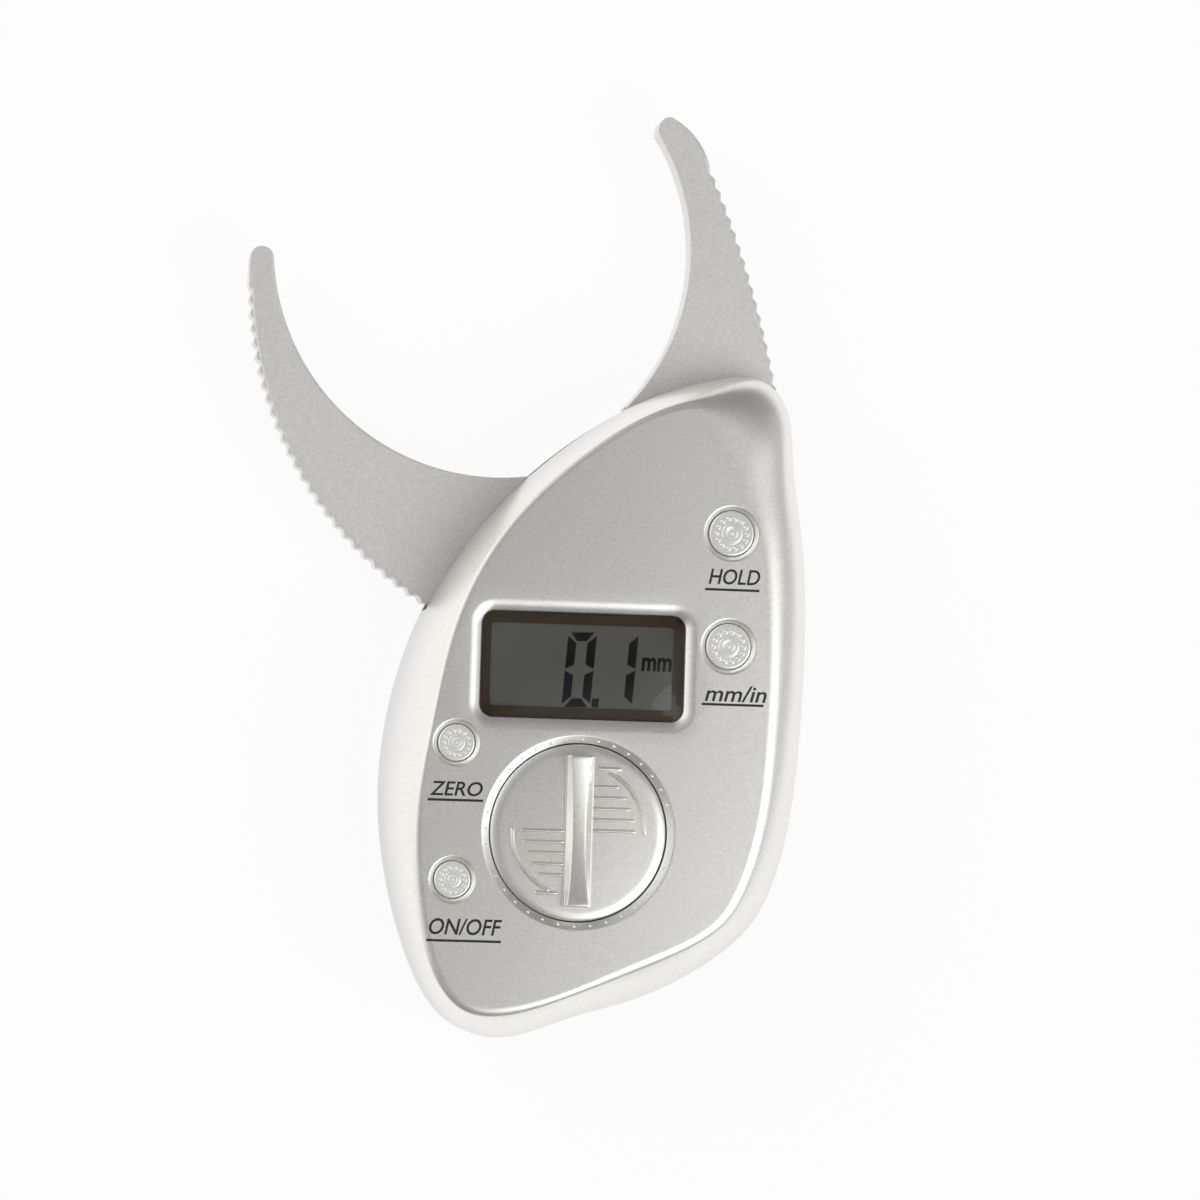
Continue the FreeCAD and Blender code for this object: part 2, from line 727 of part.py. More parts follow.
# An arc from one point to another that bulges to the right by a share of its chord
def bulged_edge(first, last, bulge):
    chord = last - first
    middle = (first + last) * 0.5 + FreeCAD.Vector(chord.y, -chord.x, 0) * bulge
    return Part.Arc(first, middle, last).toShape()


def jaw_plate(edges):
    face = Part.Face(Part.Wire(edges))
    plate = face.extrude(FreeCAD.Vector(0, 0, mm(size("jaw_thickness"))))
    plate.translate(FreeCAD.Vector(0, 0, mm(JAW_BOTTOM)))
    return plate


def point(name):
    return FreeCAD.Vector(mm(size(name + "_x")), mm(size(name + "_y")), 0)


def moving_jaw():
    bottom, top = mm(JAW_BOTTOM), mm(JAW_TOP)
    inner_radius, outer_radius = mm(size("inner_radius")), mm(size("moving_outer_radius"))
    tip, root, heel = point("moving_tip"), point("moving_root"), point("moving_heel")
    hub = mm(size("hub_radius"))
    hub_front, hub_back = polar(hub, HUB_FRONT), polar(hub, HUB_BACK)
    nose = tip - FreeCAD.Vector(mm(size("moving_tip_width")), 0, 0)
    centre = centre_of(nose, heel, outer_radius)
    smooth = mm(size("moving_tip_smooth")) / (outer_radius * abs(sweep_of(centre, nose, heel)))
    grip = along_arc(centre, nose, heel, smooth)
    edges = [arc_edge(nose, grip, outer_radius)]
    edges += grip_edges(grip, heel, outer_radius)
    edges.append(Part.makeLine(heel, hub_back))
    edges.append(Part.makeLine(hub_back, hub_front))
    edges.append(Part.makeLine(hub_front, root))
    edges.append(arc_edge(tip, root, inner_radius))
    edges.append(bulged_edge(tip, nose, MOVING_TIP_BULGE))
    body = jaw_plate(edges).fuse(disc(hub, bottom, top))
    peg_leg, side, _ = spring_leg_ends()[1]
    peg = peg_leg + side
    peg_bottom = mm(SPRING_TOP) - mm(size("spring_wire"))
    body = body.fuse(disc(mm(size("spring_peg")), peg_bottom, bottom, peg.x, peg.y))
    bore = mm(total(size("pin_radius"), size("pin_clearance")))
    return feature("moving_jaw", body.cut(disc(bore, bottom, top)).removeSplitter())


# The fixed jaw's root fills the head of the housing, clear of the moving jaw
def fixed_root(inner_root):
    bottom, top = mm(JAW_BOTTOM), mm(JAW_TOP)
    low = mm(size("root_length"))
    far = RIGHT_WIDTH
    corners = [
        inner_root,
        FreeCAD.Vector(math.sqrt(mm(size("root_radius")) ** 2 - low ** 2), low, 0),
        FreeCAD.Vector(far, low, 0),
        FreeCAD.Vector(far, HEAD, 0),
        FreeCAD.Vector(inner_root.x, HEAD, 0),
        inner_root,
    ]
    root = jaw_plate([Part.makePolygon(corners)])
    inset = mm(total(size("cover_wall"), size("root_clearance")))
    return root.common(prism(0, inset, bottom, top)).cut(disc(mm(size("root_radius")), bottom, top))


def fixed_jaw():
    bottom, top = mm(JAW_BOTTOM), mm(JAW_TOP)
    inner_radius, outer_radius = mm(size("inner_radius")), mm(size("fixed_outer_radius"))
    tip, root = point("fixed_tip"), point("fixed_root")
    grip, heel = point("fixed_grip"), point("fixed_heel")
    nose = tip + FreeCAD.Vector(mm(size("fixed_nose_reach")), mm(size("fixed_nose_rise")), 0)
    corner = outline_point(HEAD_CORNER, 0, mm(total(size("cover_wall"), size("root_clearance"))))
    neck = outline_point(HEAD_SCREW, 0, 2 * mm(size("screw_inset")))
    edges = [Part.makeLine(root, neck), Part.makeLine(neck, corner)]
    edges.append(Part.makeLine(corner, heel))
    edges += grip_edges(heel, grip, outer_radius)
    edges.append(bulged_edge(grip, nose, FIXED_OUTER_BULGE))
    edges.append(bulged_edge(nose, tip, FIXED_TIP_BULGE))
    edges.append(arc_edge(root, tip, inner_radius))
    body = jaw_plate(edges).fuse(fixed_root(root))
    clearance = mm(size("screw_clearance"))
    shank = mm(size("screw_shank")) + clearance
    for spot in screw_places(JAW_SCREWS + (HEAD_SCREW,)):
        body = body.cut(disc(shank, bottom, top, spot.x, spot.y))
    head = mm(size("screw_head")) + clearance
    seat = mm(less(JAW_TOP, size("screw_head_height")))
    for spot in screw_places(JAW_SCREWS):
        body = body.cut(disc(head, seat, top, spot.x, spot.y))
    return feature("fixed_jaw", body.removeSplitter())


# Pivot.  For the spring's lower and upper leg: where it bears, the way from there
# to its peg, and its direction.
def spring_leg_ends():
    radius, turns = mm(size("spring_radius")), mm(size("spring_turns"))
    reach = mm(size("spring_leg")) - 2 * mm(size("spring_peg"))
    to_peg = mm(total(f"{size('spring_wire')} / 2", size("spring_peg"), size("spring_gap")))
    ends = []
    for angle, way in ((SPRING_END - 360 * turns, -1), (SPRING_END, 1)):
        outward = polar(1, angle)
        along = FreeCAD.Vector(-outward.y, outward.x, 0) * way
        ends.append((outward * radius + along * reach, outward * -to_peg, along))
    return ends


def return_spring():
    radius, turns = mm(size("spring_radius")), mm(size("spring_turns"))
    wire = mm(size("spring_wire")) / 2
    low, high = mm(SPRING_BOTTOM) + wire, mm(SPRING_TOP) - wire
    helix = Part.makeHelix((high - low) / turns, high - low, radius)
    section = Part.Wire(Part.makeCircle(wire, FreeCAD.Vector(radius, 0, 0), FreeCAD.Vector(0, 1, 0)))
    coil = Part.Wire(helix).makePipeShell([section], True, True)
    coil.rotate(FreeCAD.Vector(), FreeCAD.Vector(0, 0, 1), SPRING_END - 360 * turns)
    coil.translate(FreeCAD.Vector(0, 0, low))
    legs = []
    for (_, _, along), angle, height in zip(
        spring_leg_ends(), (SPRING_END - 360 * turns, SPRING_END), (low, high)
    ):
        start = polar(radius, angle, (0, 0), height)
        legs.append(Part.makeSphere(wire, start))
        legs.append(Part.makeCylinder(wire, mm(size("spring_leg")), start, along))
    return feature("return_spring", join([coil] + legs))


def pivot():
    pin = turned("pivot_pin", (
        ("0", PIN_BOTTOM),
        (less(size("pin_radius"), PIN_CHAMFER), PIN_BOTTOM),
        (size("pin_radius"), total(PIN_BOTTOM, PIN_CHAMFER)),
        (size("pin_radius"), less(PIN_TOP, PIN_CHAMFER)),
        (less(size("pin_radius"), PIN_CHAMFER), PIN_TOP),
        ("0", PIN_TOP),
    ))
    bore = total(size("pin_radius"), size("pin_clearance"))
    washer = turned("pivot_washer", (
        (bore, WASHER_BOTTOM),
        (size("washer_radius"), WASHER_BOTTOM),
        (size("washer_radius"), JAW_BOTTOM),
        (bore, JAW_BOTTOM),
    ))
    rotor = turned("encoder_rotor", (
        (total(size("pin_radius"), size("encoder_gap")), JAW_TOP),
        (size("rotor_radius"), JAW_TOP),
        (size("rotor_radius"), ROTOR_TOP),
        (total(size("pin_radius"), size("encoder_gap")), ROTOR_TOP),
    ))
    return [pin, washer, rotor]


# Display and electronics
def main_board():
    bottom, top = mm(BOARD_BOTTOM), mm(BOARD_TOP)
    clearance = mm(size("board_clearance"))
    board = prism(BELLY_LEAN, mm(size("cover_wall")) + clearance, bottom, top)
    corner = FreeCAD.Vector(-2 * LEFT_WIDTH, BOARD_HEAD, bottom)
    board = board.cut(Part.makeBox(4 * RIGHT_WIDTH, HEAD, top - bottom, corner))
    for spot in screw_places(COVER_SCREWS):
        hole = mm(size("screw_boss")) + clearance
        board = board.cut(disc(hole, bottom, top, spot.x, spot.y))
    for x, y in BOARD_SCREWS:
        hole = mm(total(size("board_screw_shank"), size("screw_clearance")))
        board = board.cut(disc(hole, bottom, top, x, y))
    board = board.cut(disc(mm(size("pin_radius")) + clearance, bottom, top))
    return feature("main_board", board)


def display():
    x, y = mm(CENTRE_X), mm(WINDOW_Y)
    width, length = mm(size("window_width")), mm(size("window_length"))
    gap, lip, corner = mm(size("window_gap")), mm(size("window_lip")), mm(size("window_corner"))
    low, shoulder, high = mm(WINDOW_BOTTOM), mm(ROOF), mm(WINDOW_TOP)
    flange = slab(width + 2 * lip, length + 2 * lip, corner + lip, low, shoulder, x, y)
    pane = slab(width - 2 * gap, length - 2 * gap, corner - gap, low, high, x, y)
    window = feature("display_window", flange.fuse(pane).removeSplitter())

    film = slab(width + 2 * lip, length + 2 * lip, corner + lip, mm(LCD_TOP), low, x, y)
    view_corner = mm(size("view_corner"))
    view = slab(mm(size("view_width")), mm(size("view_length")), view_corner, mm(LCD_TOP), low, x, y)
    frame = feature("display_frame", film.cut(view))

    panel = block("lcd_panel", LCD_WIDTH, LCD_LENGTH, LCD_BOTTOM, LCD_TOP, CENTRE_X, WINDOW_Y)
    play = f"2 * {size('window_gap')}"
    wall = f"2 * {size('holder_wall')}"
    inner_width, inner_length = total(LCD_WIDTH, play), total(LCD_LENGTH, play)
    outside = block(
        "lcd_holder_outside", total(inner_width, wall), total(inner_length, wall),
        BOARD_TOP, LCD_TOP, CENTRE_X, WINDOW_Y,
    )
    inside = block(
        "lcd_holder_inside", inner_width, inner_length, BOARD_TOP, LCD_TOP, CENTRE_X, WINDOW_Y,
    )
    holder = cut("lcd_holder", outside, [inside])
    strips = []
    for name, side in (("upper", "1"), ("lower", "-1")):
        strip_y = f"({WINDOW_Y} + {side} * ({LCD_LENGTH} / 2 - {size('strip_width')}))"
        strips.append(block(
            name + "_strip", f"{LCD_WIDTH} * {STRIP_SHARE}", size("strip_width"),
            BOARD_TOP, LCD_BOTTOM, CENTRE_X, strip_y,
        ))
    chip_top = total(BOARD_TOP, size("chip_height"))
    chip = cylinder(
        "controller_chip", size("chip_radius"), BOARD_TOP, chip_top, CENTRE_X, WINDOW_Y
    )
    return [window, frame, panel, holder, group("contact_strips", strips), chip]


# Battery
def finger_bar():
    x, y, foot = mm(CENTRE_X), mm(DIAL_Y), mm(DIAL_TOP)
    head = foot + mm(size("bar_height"))
    base_width, base_length = mm(size("bar_width")) / 2, mm(size("bar_length")) / 2
    top_width, top_length = base_width * BAR_TAPER, base_length - base_width * (1 - BAR_TAPER)
    waist = mm(size("bar_waist")) / 2

    def corners(width, length, height):
        return [FreeCAD.Vector(x + a * width, y + b * length, height)
                for a, b in ((1, -1), (1, 1), (-1, 1), (-1, -1))]

    low = corners(base_width, base_length, foot)
    base = Part.makePolygon(low + low[:1])
    high = corners(top_width, top_length, head)
    right = FreeCAD.Vector(x + waist, y, head)
    left = FreeCAD.Vector(x - waist, y, head)
    crest = Part.Wire([
        Part.Arc(high[0], right, high[1]).toShape(),
        Part.makeLine(high[1], high[2]),
        Part.Arc(high[2], left, high[3]).toShape(),
        Part.makeLine(high[3], high[0]),
    ])
    return feature("battery_cover_bar", Part.makeLoft([base, crest], True, True))


def bayonet_tabs():
    x, y = mm(CENTRE_X), mm(DIAL_Y)
    bottom = mm(SKIRT_BOTTOM)
    top = bottom + mm(size("tab_height"))
    angle = mm(size("tab_angle"))
    reach = mm(total(size("skirt_outer"), size("tab_reach")))
    tabs = []
    for tab in range(TABS):
        piece = pie(reach, bottom, top, 360 / TABS * tab - angle / 2, angle, x, y)
        tabs.append(piece.cut(disc(mm(size("skirt_inner")), bottom, top, x, y)))
    return feature("battery_cover_tabs", Part.makeCompound(tabs))


def battery():
    press_bottom = total(CELL_TOP, size("window_gap"))
    press_radius = size("presser_radius")
    shoulder = less(DIAL_TOP, DIAL_ROLL)
    plate = turned("battery_cover_plate", (
        ("0", press_bottom),
        (press_radius, press_bottom),
        (press_radius, DIAL_BOTTOM),
        (size("skirt_inner"), DIAL_BOTTOM),
        (size("skirt_inner"), SKIRT_BOTTOM),
        (size("skirt_outer"), SKIRT_BOTTOM),
        (size("skirt_outer"), DIAL_BOTTOM),
        (size("dial_radius"), DIAL_BOTTOM),
        (size("dial_radius"), shoulder),
        (less(size("dial_radius"), DIAL_ROLL), DIAL_TOP),
        ("0", DIAL_TOP),
    ), CENTRE_X, DIAL_Y)
    cover = fuse("battery_cover", [plate, finger_bar(), bayonet_tabs()])

    step_top = total(CELL_BOTTOM, size("cell_step"))
    cell = turned("coin_cell", (
        ("0", CELL_BOTTOM),
        (less(size("cell_radius"), size("nest_wall")), CELL_BOTTOM),
        (less(size("cell_radius"), size("nest_wall")), step_top),
        (size("cell_radius"), step_top),
        (size("cell_radius"), CELL_TOP),
        ("0", CELL_TOP),
    ), CENTRE_X, DIAL_Y)
    return [cover, cell]


def battery_contacts():
    thick, wide = size("contact_thickness"), size("contact_width")
    foot_length = f"(2 * {wide})"
    foot_top = total(BOARD_TOP, thick)
    leaf_bottom = less(CELL_BOTTOM, thick)
    minus = fuse("minus_contact", [
        block("minus_foot", foot_length, wide, BOARD_TOP, foot_top,
              total(MINUS_X, f"{foot_length} / 2"), DIAL_Y),
        block("minus_riser", thick, wide, BOARD_TOP, CELL_BOTTOM, MINUS_X, DIAL_Y),
        block("minus_leaf", foot_length, wide, leaf_bottom, CELL_BOTTOM,
              less(MINUS_X, f"{foot_length} / 2"), DIAL_Y),
    ])
    plus = fuse("plus_contact", [
        block("plus_foot", foot_length, wide, BOARD_TOP, foot_top,
              less(PLUS_X, f"{foot_length} / 2"), DIAL_Y),
        block("plus_riser", thick, wide, BOARD_TOP, less(CELL_TOP, thick), PLUS_X, DIAL_Y),
    ])
    return [minus, plus]


# Buttons
def button(name, cap_radius, x, y):
    cap_top = less(TOP, size("cap_drop"))
    flange_radius = total(size(cap_radius), size("cap_flange"))
    stem_bottom = total(BOARD_TOP, size("switch_height"), size("plunger_stroke"))
    return turned(name, (
        ("0", stem_bottom),
        (size("stem_radius"), stem_bottom),
        (size("stem_radius"), FLANGE_BOTTOM),
        (flange_radius, FLANGE_BOTTOM),
        (flange_radius, FLANGE_TOP),
        (size(cap_radius), FLANGE_TOP),
        (size(cap_radius), less(cap_top, size("window_gap"))),
        (less(size(cap_radius), size("window_gap")), cap_top),
        ("0", cap_top),
    ), x, y)


def switch(name, x, y):
    case_top = total(BOARD_TOP, size("switch_height"))
    plunger_top = total(case_top, size("plunger_stroke"))
    plunger_bottom = less(case_top, size("plunger_stroke"))
    hole_radius = total(size("plunger_radius"), size("pin_clearance"))
    hole_bottom = less(plunger_bottom, size("plunger_stroke"))
    case = block(name + "_case", size("switch_width"), size("switch_width"), BOARD_TOP, case_top, x, y)
    hole = cylinder(name + "_hole", hole_radius, hole_bottom, case_top, x, y)
    plunger = cylinder(name + "_plunger", size("plunger_radius"), plunger_bottom, plunger_top, x, y)
    return cut(name + "_body", case, [hole]), plunger


def buttons():
    pieces = []
    cases = []
    for name, (cap_radius, x, y) in BUTTONS.items():
        case, plunger = switch(name + "_switch", x, y)
        cases.append(case)
        pieces.append(button(name + "_button", cap_radius, x, y))
        pieces.append(plunger)
    return pieces + [group("tact_switches", cases)]


# Screws: a head, a shank and a cross recess, pointing up or down from the head's seat
def screw(head, head_height, shank, seat, tip, x, y):
    way = 1 if tip > seat else -1
    outer = seat - way * head_height
    body = disc(head, min(seat, outer), max(seat, outer), x, y)
    body = body.fuse(disc(shank, min(seat, tip), max(seat, tip), x, y))
    depth = head_height * RECESS_DEPTH
    low = min(outer, outer + way * depth)
    for width, length in ((head * RECESS_WIDTH, head), (head, head * RECESS_WIDTH)):
        corner = FreeCAD.Vector(x - width / 2, y - length / 2, low)
        body = body.cut(Part.makeBox(width, length, depth, corner))
    return body


def screws():
    head, head_height = mm(size("screw_head")), mm(size("screw_head_height"))
    shank = mm(size("screw_shank"))
    cover_tip = mm(total(PARTING, size("screw_reach")))
    cover = [
        screw(head, head_height, shank, mm(SCREW_SEAT), cover_tip, spot.x, spot.y)
        for spot in screw_places(COVER_SCREWS)
    ]
    jaw_seat = mm(less(JAW_TOP, size("screw_head_height")))
    jaw = [
        screw(head, head_height, shank, jaw_seat, mm(JAW_SCREW_TIP), spot.x, spot.y)
        for spot in screw_places(JAW_SCREWS)
    ]
    board_head = mm(size("board_screw_head"))
    board_head_height = mm(size("board_screw_head_height"))
    board_shank = mm(size("board_screw_shank"))
    board_tip = mm(total(BOARD_TOP, size("board_screw_reach")))
    board = [
        screw(board_head, board_head_height, board_shank, mm(BOARD_BOTTOM), board_tip, x, y)
        for x, y in BOARD_SCREWS
    ]
    return [
        feature("cover_screws", Part.makeCompound(cover)),
        feature("jaw_screws", Part.makeCompound(jaw)),
        feature("board_screws", Part.makeCompound(board)),
    ]


subparts = [front_cover(), rear_cover(), fixed_jaw(), moving_jaw(), return_spring(), main_board()]
subparts += pivot() + display() + battery() + battery_contacts() + buttons() + screws()
doc.recompute()
for thing in doc.Objects:
    check(thing)

os.makedirs("parts", exist_ok=True)
for subpart in subparts:
    shape = subpart.Shape
    if shape.isNull() or not shape.isValid() or not shape.Solids:
        raise RuntimeError(subpart.Label + " has no valid solid")
    shape.exportStep(f"parts/{subpart.Label}.step")
    print(f"{subpart.Label}: {len(shape.Solids)} solids, {shape.Volume:.1f} mm3")
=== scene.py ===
import math

import bmesh
import bpy
import numpy as np
from mathutils import Matrix, Vector
from mathutils.geometry import delaunay_2d_cdt


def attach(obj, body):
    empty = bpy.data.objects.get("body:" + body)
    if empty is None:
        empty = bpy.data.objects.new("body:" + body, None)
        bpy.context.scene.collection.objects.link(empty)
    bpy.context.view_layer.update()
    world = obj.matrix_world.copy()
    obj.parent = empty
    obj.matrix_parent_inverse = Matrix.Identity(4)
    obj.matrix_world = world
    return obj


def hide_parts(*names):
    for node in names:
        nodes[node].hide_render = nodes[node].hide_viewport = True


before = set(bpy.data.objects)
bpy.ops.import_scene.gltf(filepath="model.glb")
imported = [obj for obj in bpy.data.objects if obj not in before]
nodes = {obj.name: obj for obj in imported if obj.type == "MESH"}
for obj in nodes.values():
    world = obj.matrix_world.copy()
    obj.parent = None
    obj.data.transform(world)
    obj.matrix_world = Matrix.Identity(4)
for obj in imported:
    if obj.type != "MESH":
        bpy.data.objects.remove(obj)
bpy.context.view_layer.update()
mm = 0.001      # every size below is in millimetres and is scaled as it enters a mesh
print("frame loaded")


# Camera: level with the display, leaning a little over its lower left side
camera = {
    "back": (-0.125, -0.045, 1.0),      # from the caliper towards the camera
    "eye": (-110.39, -42.9, 905.18),
    "roll": 1.7,                        # the caliper's upright leans this far to the right
    "lens": 154.91,
    "sensor": 36.0,
}


def makeCamera():
    back = Vector(camera["back"]).normalized()
    level = Vector((0, 1, 0))
    upright = (level - back * level.dot(back)).normalized()
    across = upright.cross(back)
    roll = math.radians(camera["roll"])
    up = upright * math.cos(roll) - across * math.sin(roll)
    right = across * math.cos(roll) + upright * math.sin(roll)
    turn = Matrix((right, up, back)).transposed().to_4x4()
    data = bpy.data.cameras.new("camera")
    data.sensor_width = camera["sensor"]
    data.lens = camera["lens"]
    data.clip_start = 0.01
    data.clip_end = 20
    thing = bpy.data.objects.new("camera", data)
    thing.matrix_world = Matrix.Translation(Vector(camera["eye"]) * mm) @ turn
    bpy.context.scene.collection.objects.link(thing)
    bpy.context.scene.camera = thing


# Light: a dim sky with a bright field to the lower right and one low on the left, fainter
# ones to the upper left and low on the right, and a darker patch straight above; a round
# lamp in the bright field, and a second one that doesn't show in reflections
light = {
    "sky": 0.22,
    "fields": (     # direction, cosines of the angles at which it fades out and is full, strength
        ((0.54, -0.35, 0.766), 0.80, 0.93, 1.2),
        ((-0.60, 0.30, 0.74), 0.60, 0.95, 0.35),
        ((-0.95, 0.30, 0.10), 0.55, 0.90, 0.9),
        ((0.95, 0.05, 0.16), 0.72, 0.94, 0.35),
        ((0.02, 0.02, 1.0), 0.90, 0.985, -0.20),
    ),
    "lampPlace": (474, -332, 689),
    "lampSize": 620,
    "lampPower": 2.0,
    "fillPlace": (-560, 420, 560),
    "fillSize": 900,
    "fillPower": 2.8,
    "floorColour": (0.82, 0.82, 0.82),
    "floorReach": 3000, "floorLevel": -0.1,
    "backdrop": 1.0,
    "whiteSeen": 0.92,          # how far the floor is plain white, without its shadow
    "whiteMirrored": 0.66,      # the same in reflections
    "mirroredGain": 0.2,        # how much whiter it is in them
}


def addLamp(name, place, extent, power, mirrored=True):
    data = bpy.data.lights.new(name, "AREA")
    data.shape = "DISK"
    data.size = extent * mm
    data.energy = power
    thing = bpy.data.objects.new(name, data)
    place = Vector(place) * mm
    thing.location = place
    thing.rotation_euler = place.to_track_quat("Z", "Y").to_euler()
    thing.visible_glossy = mirrored
    bpy.context.scene.collection.objects.link(thing)


# Inputs by label or number; one that is another node's output is linked to it
def setInputs(tree, node, inputs):
    for label, value in inputs.items():
        if isinstance(value, bpy.types.NodeSocket):
            tree.links.new(value, node.inputs[label])
        else:
            node.inputs[label].default_value = value


def addNode(tree, kind, inputs=None, **settings):
    node = tree.nodes.new(kind)
    for name, value in settings.items():
        setattr(node, name, value)
    setInputs(tree, node, inputs or {})
    return node.outputs


def addMath(tree, kind, first, second):
    return addNode(tree, "ShaderNodeMath", {0: first, 1: second}, operation=kind)[0]


def addRange(tree, value, low, high, most=1.0, kind="LINEAR"):
    inputs = {"Value": value, "From Min": low, "From Max": high, "To Max": most}
    return addNode(tree, "ShaderNodeMapRange", inputs, interpolation_type=kind)[0]


def addMix(tree, factor, first, second, outKind):
    mixed = addNode(tree, "ShaderNodeMixShader", {0: factor, 1: first, 2: second})[0]
    addNode(tree, outKind, {0: mixed})


def clearedTree(holder):
    holder.use_nodes = True
    holder.node_tree.nodes.clear()
    return holder.node_tree


def makeSky():
    world = bpy.data.worlds.new("studio")
    bpy.context.scene.world = world
    tree = clearedTree(world)
    way = addNode(tree, "ShaderNodeTexCoord")["Generated"]
    total = light["sky"]
    for direction, fading, full, strength in light["fields"]:
        near = addNode(tree, "ShaderNodeVectorMath", {0: way, 1: Vector(direction).normalized()},
                       operation="DOT_PRODUCT")["Value"]
        field = addRange(tree, near, fading, full, strength, "SMOOTHSTEP")
        total = addMath(tree, "ADD", field, total)
    sky = addNode(tree, "ShaderNodeBackground", {"Strength": total})[0]
    white = addNode(tree, "ShaderNodeBackground", {"Strength": light["backdrop"]})[0]
    seen = addNode(tree, "ShaderNodeLightPath")["Is Camera Ray"]
    addMix(tree, seen, sky, white, "ShaderNodeOutputWorld")


def makeFloor():
    reach, level = light["floorReach"] * mm, light["floorLevel"] * mm
    corners = [(x * reach, y * reach, level) for x, y in ((-1, -1), (1, -1), (1, 1), (-1, 1))]
    mesh = bpy.data.meshes.new("floor")
    mesh.from_pydata(corners, [], [(0, 1, 2, 3)])
    thing = bpy.data.objects.new("floor", mesh)
    bpy.context.scene.collection.objects.link(thing)
    material = bpy.data.materials.new("paleFloor")
    tree = clearedTree(material)
    path = addNode(tree, "ShaderNodeLightPath")
    seen, mirrored = path["Is Camera Ray"], path["Is Glossy Ray"]
    gain = addMath(tree, "MULTIPLY", mirrored, light["mirroredGain"])
    gain = addMath(tree, "ADD", gain, light["backdrop"])
    seen = addMath(tree, "MULTIPLY", seen, light["whiteSeen"])
    mirrored = addMath(tree, "MULTIPLY", mirrored, light["whiteMirrored"])
    plain = addMath(tree, "MAXIMUM", seen, mirrored)
    matt = addNode(tree, "ShaderNodeBsdfDiffuse", {"Color": (*light["floorColour"], 1)})[0]
    glow = addNode(tree, "ShaderNodeEmission", {"Strength": gain})[0]
    addMix(tree, plain, matt, glow, "ShaderNodeOutputMaterial")
    mesh.materials.append(material)


makeCamera()
makeSky()
addLamp("softLamp", light["lampPlace"], light["lampSize"], light["lampPower"])
addLamp("fillLamp", light["fillPlace"], light["fillSize"], light["fillPower"], mirrored=False)
makeFloor()
bpy.context.scene.view_settings.view_transform = "Standard"
print("camera, light and floor made")


# Materials
paint = {
    "flakeScale": 3200, "driftScale": 55,
    "roughShare": 0.4,      # how much of a flake's tone is added to the roughness
    "bumpHeight": 0.05,
}


# Fine metal flake in paint: a speckle that lightens and darkens the colour a little, a
# slow drift of tone, and a faint orange-peel height.  Each tone is the noise less its
# middle times a strength, and the colour is multiplied by one plus both tones.
def makeFlakeGroup():
    group = bpy.data.node_groups.new("metalFlake", "ShaderNodeTree")
    for way, names in (
            ("INPUT", ("Colour", "Flake Scale", "Flake Strength", "Drift Strength", "Roughness")),
            ("OUTPUT", ("Colour", "Roughness", "Height"))):
        for label in names:
            kind = "NodeSocketColor" if label == "Colour" else "NodeSocketFloat"
            group.interface.new_socket(name=label, in_out=way, socket_type=kind)
    given = addNode(group, "NodeGroupInput")
    place = addNode(group, "ShaderNodeTexCoord")["Object"]
    flake, drift = (
        addNode(group, "ShaderNodeTexNoise", {"Vector": place, "Scale": scale})["Fac"]
        for scale in (given["Flake Scale"], paint["driftScale"]))
    speckle, cloud = (
        addMath(group, "MULTIPLY", addMath(group, "SUBTRACT", noise, 0.5), given[strength])
        for noise, strength in ((flake, "Flake Strength"), (drift, "Drift Strength")))
    gain = addMath(group, "ADD", addMath(group, "ADD", speckle, cloud), 1.0)
    tinted = addNode(group, "ShaderNodeVectorMath", {0: given["Colour"], "Scale": gain},
                     operation="SCALE")[0]
    rough = addMath(group, "MULTIPLY", speckle, paint["roughShare"])
    rough = addMath(group, "ADD", given["Roughness"], rough)
    addNode(group, "NodeGroupOutput", {"Colour": tinted, "Roughness": rough, "Height": flake})
    return group


flakeGroup = makeFlakeGroup()


# Painted shade: a low and a high level and the tint that the colour is multiplied by at the
# low one and below, so that the paint is darker and cooler low down, as if shaded there
def addPaintedShade(tree, colour, paintedShade):
    low, high, tint = paintedShade
    place = addNode(tree, "ShaderNodeTexCoord")["Object"]
    level = addNode(tree, "ShaderNodeSeparateXYZ", {0: place})["Z"]
    fade = addRange(tree, level, low * mm, high * mm)
    blend = addNode(tree, "ShaderNodeMix", {"Factor": fade, "A": tint, "B": (1, 1, 1)},
                    data_type="VECTOR")["Result"]
    return addNode(tree, "ShaderNodeVectorMath", {0: colour, 1: blend}, operation="MULTIPLY")[0]


def makeMaterial(name, colour, roughness, metallic=0.0, flake=0.1, drift=0.05, bump=0.05,
                 scale=paint["flakeScale"], sockets=None, paintedShade=None):
    material = bpy.data.materials.new(name)
    material.use_nodes = True
    tree = material.node_tree
    group = addNode(tree, "ShaderNodeGroup", {
        "Colour": (*colour, 1), "Flake Scale": scale, "Flake Strength": flake,
        "Drift Strength": drift, "Roughness": roughness}, node_tree=flakeGroup)
    relief = addNode(tree, "ShaderNodeBump", {
        "Strength": bump, "Distance": paint["bumpHeight"] * mm, "Height": group["Height"]})[0]
    # optional painted shade, darker and cooler towards a low level
    painted = addPaintedShade(tree, group["Colour"], paintedShade) if paintedShade else group["Colour"]
    setInputs(tree, tree.nodes["Principled BSDF"], {
        "Metallic": metallic, **(sockets or {}), "Base Color": painted,
        "Roughness": group["Roughness"], "Normal": relief})
    return material
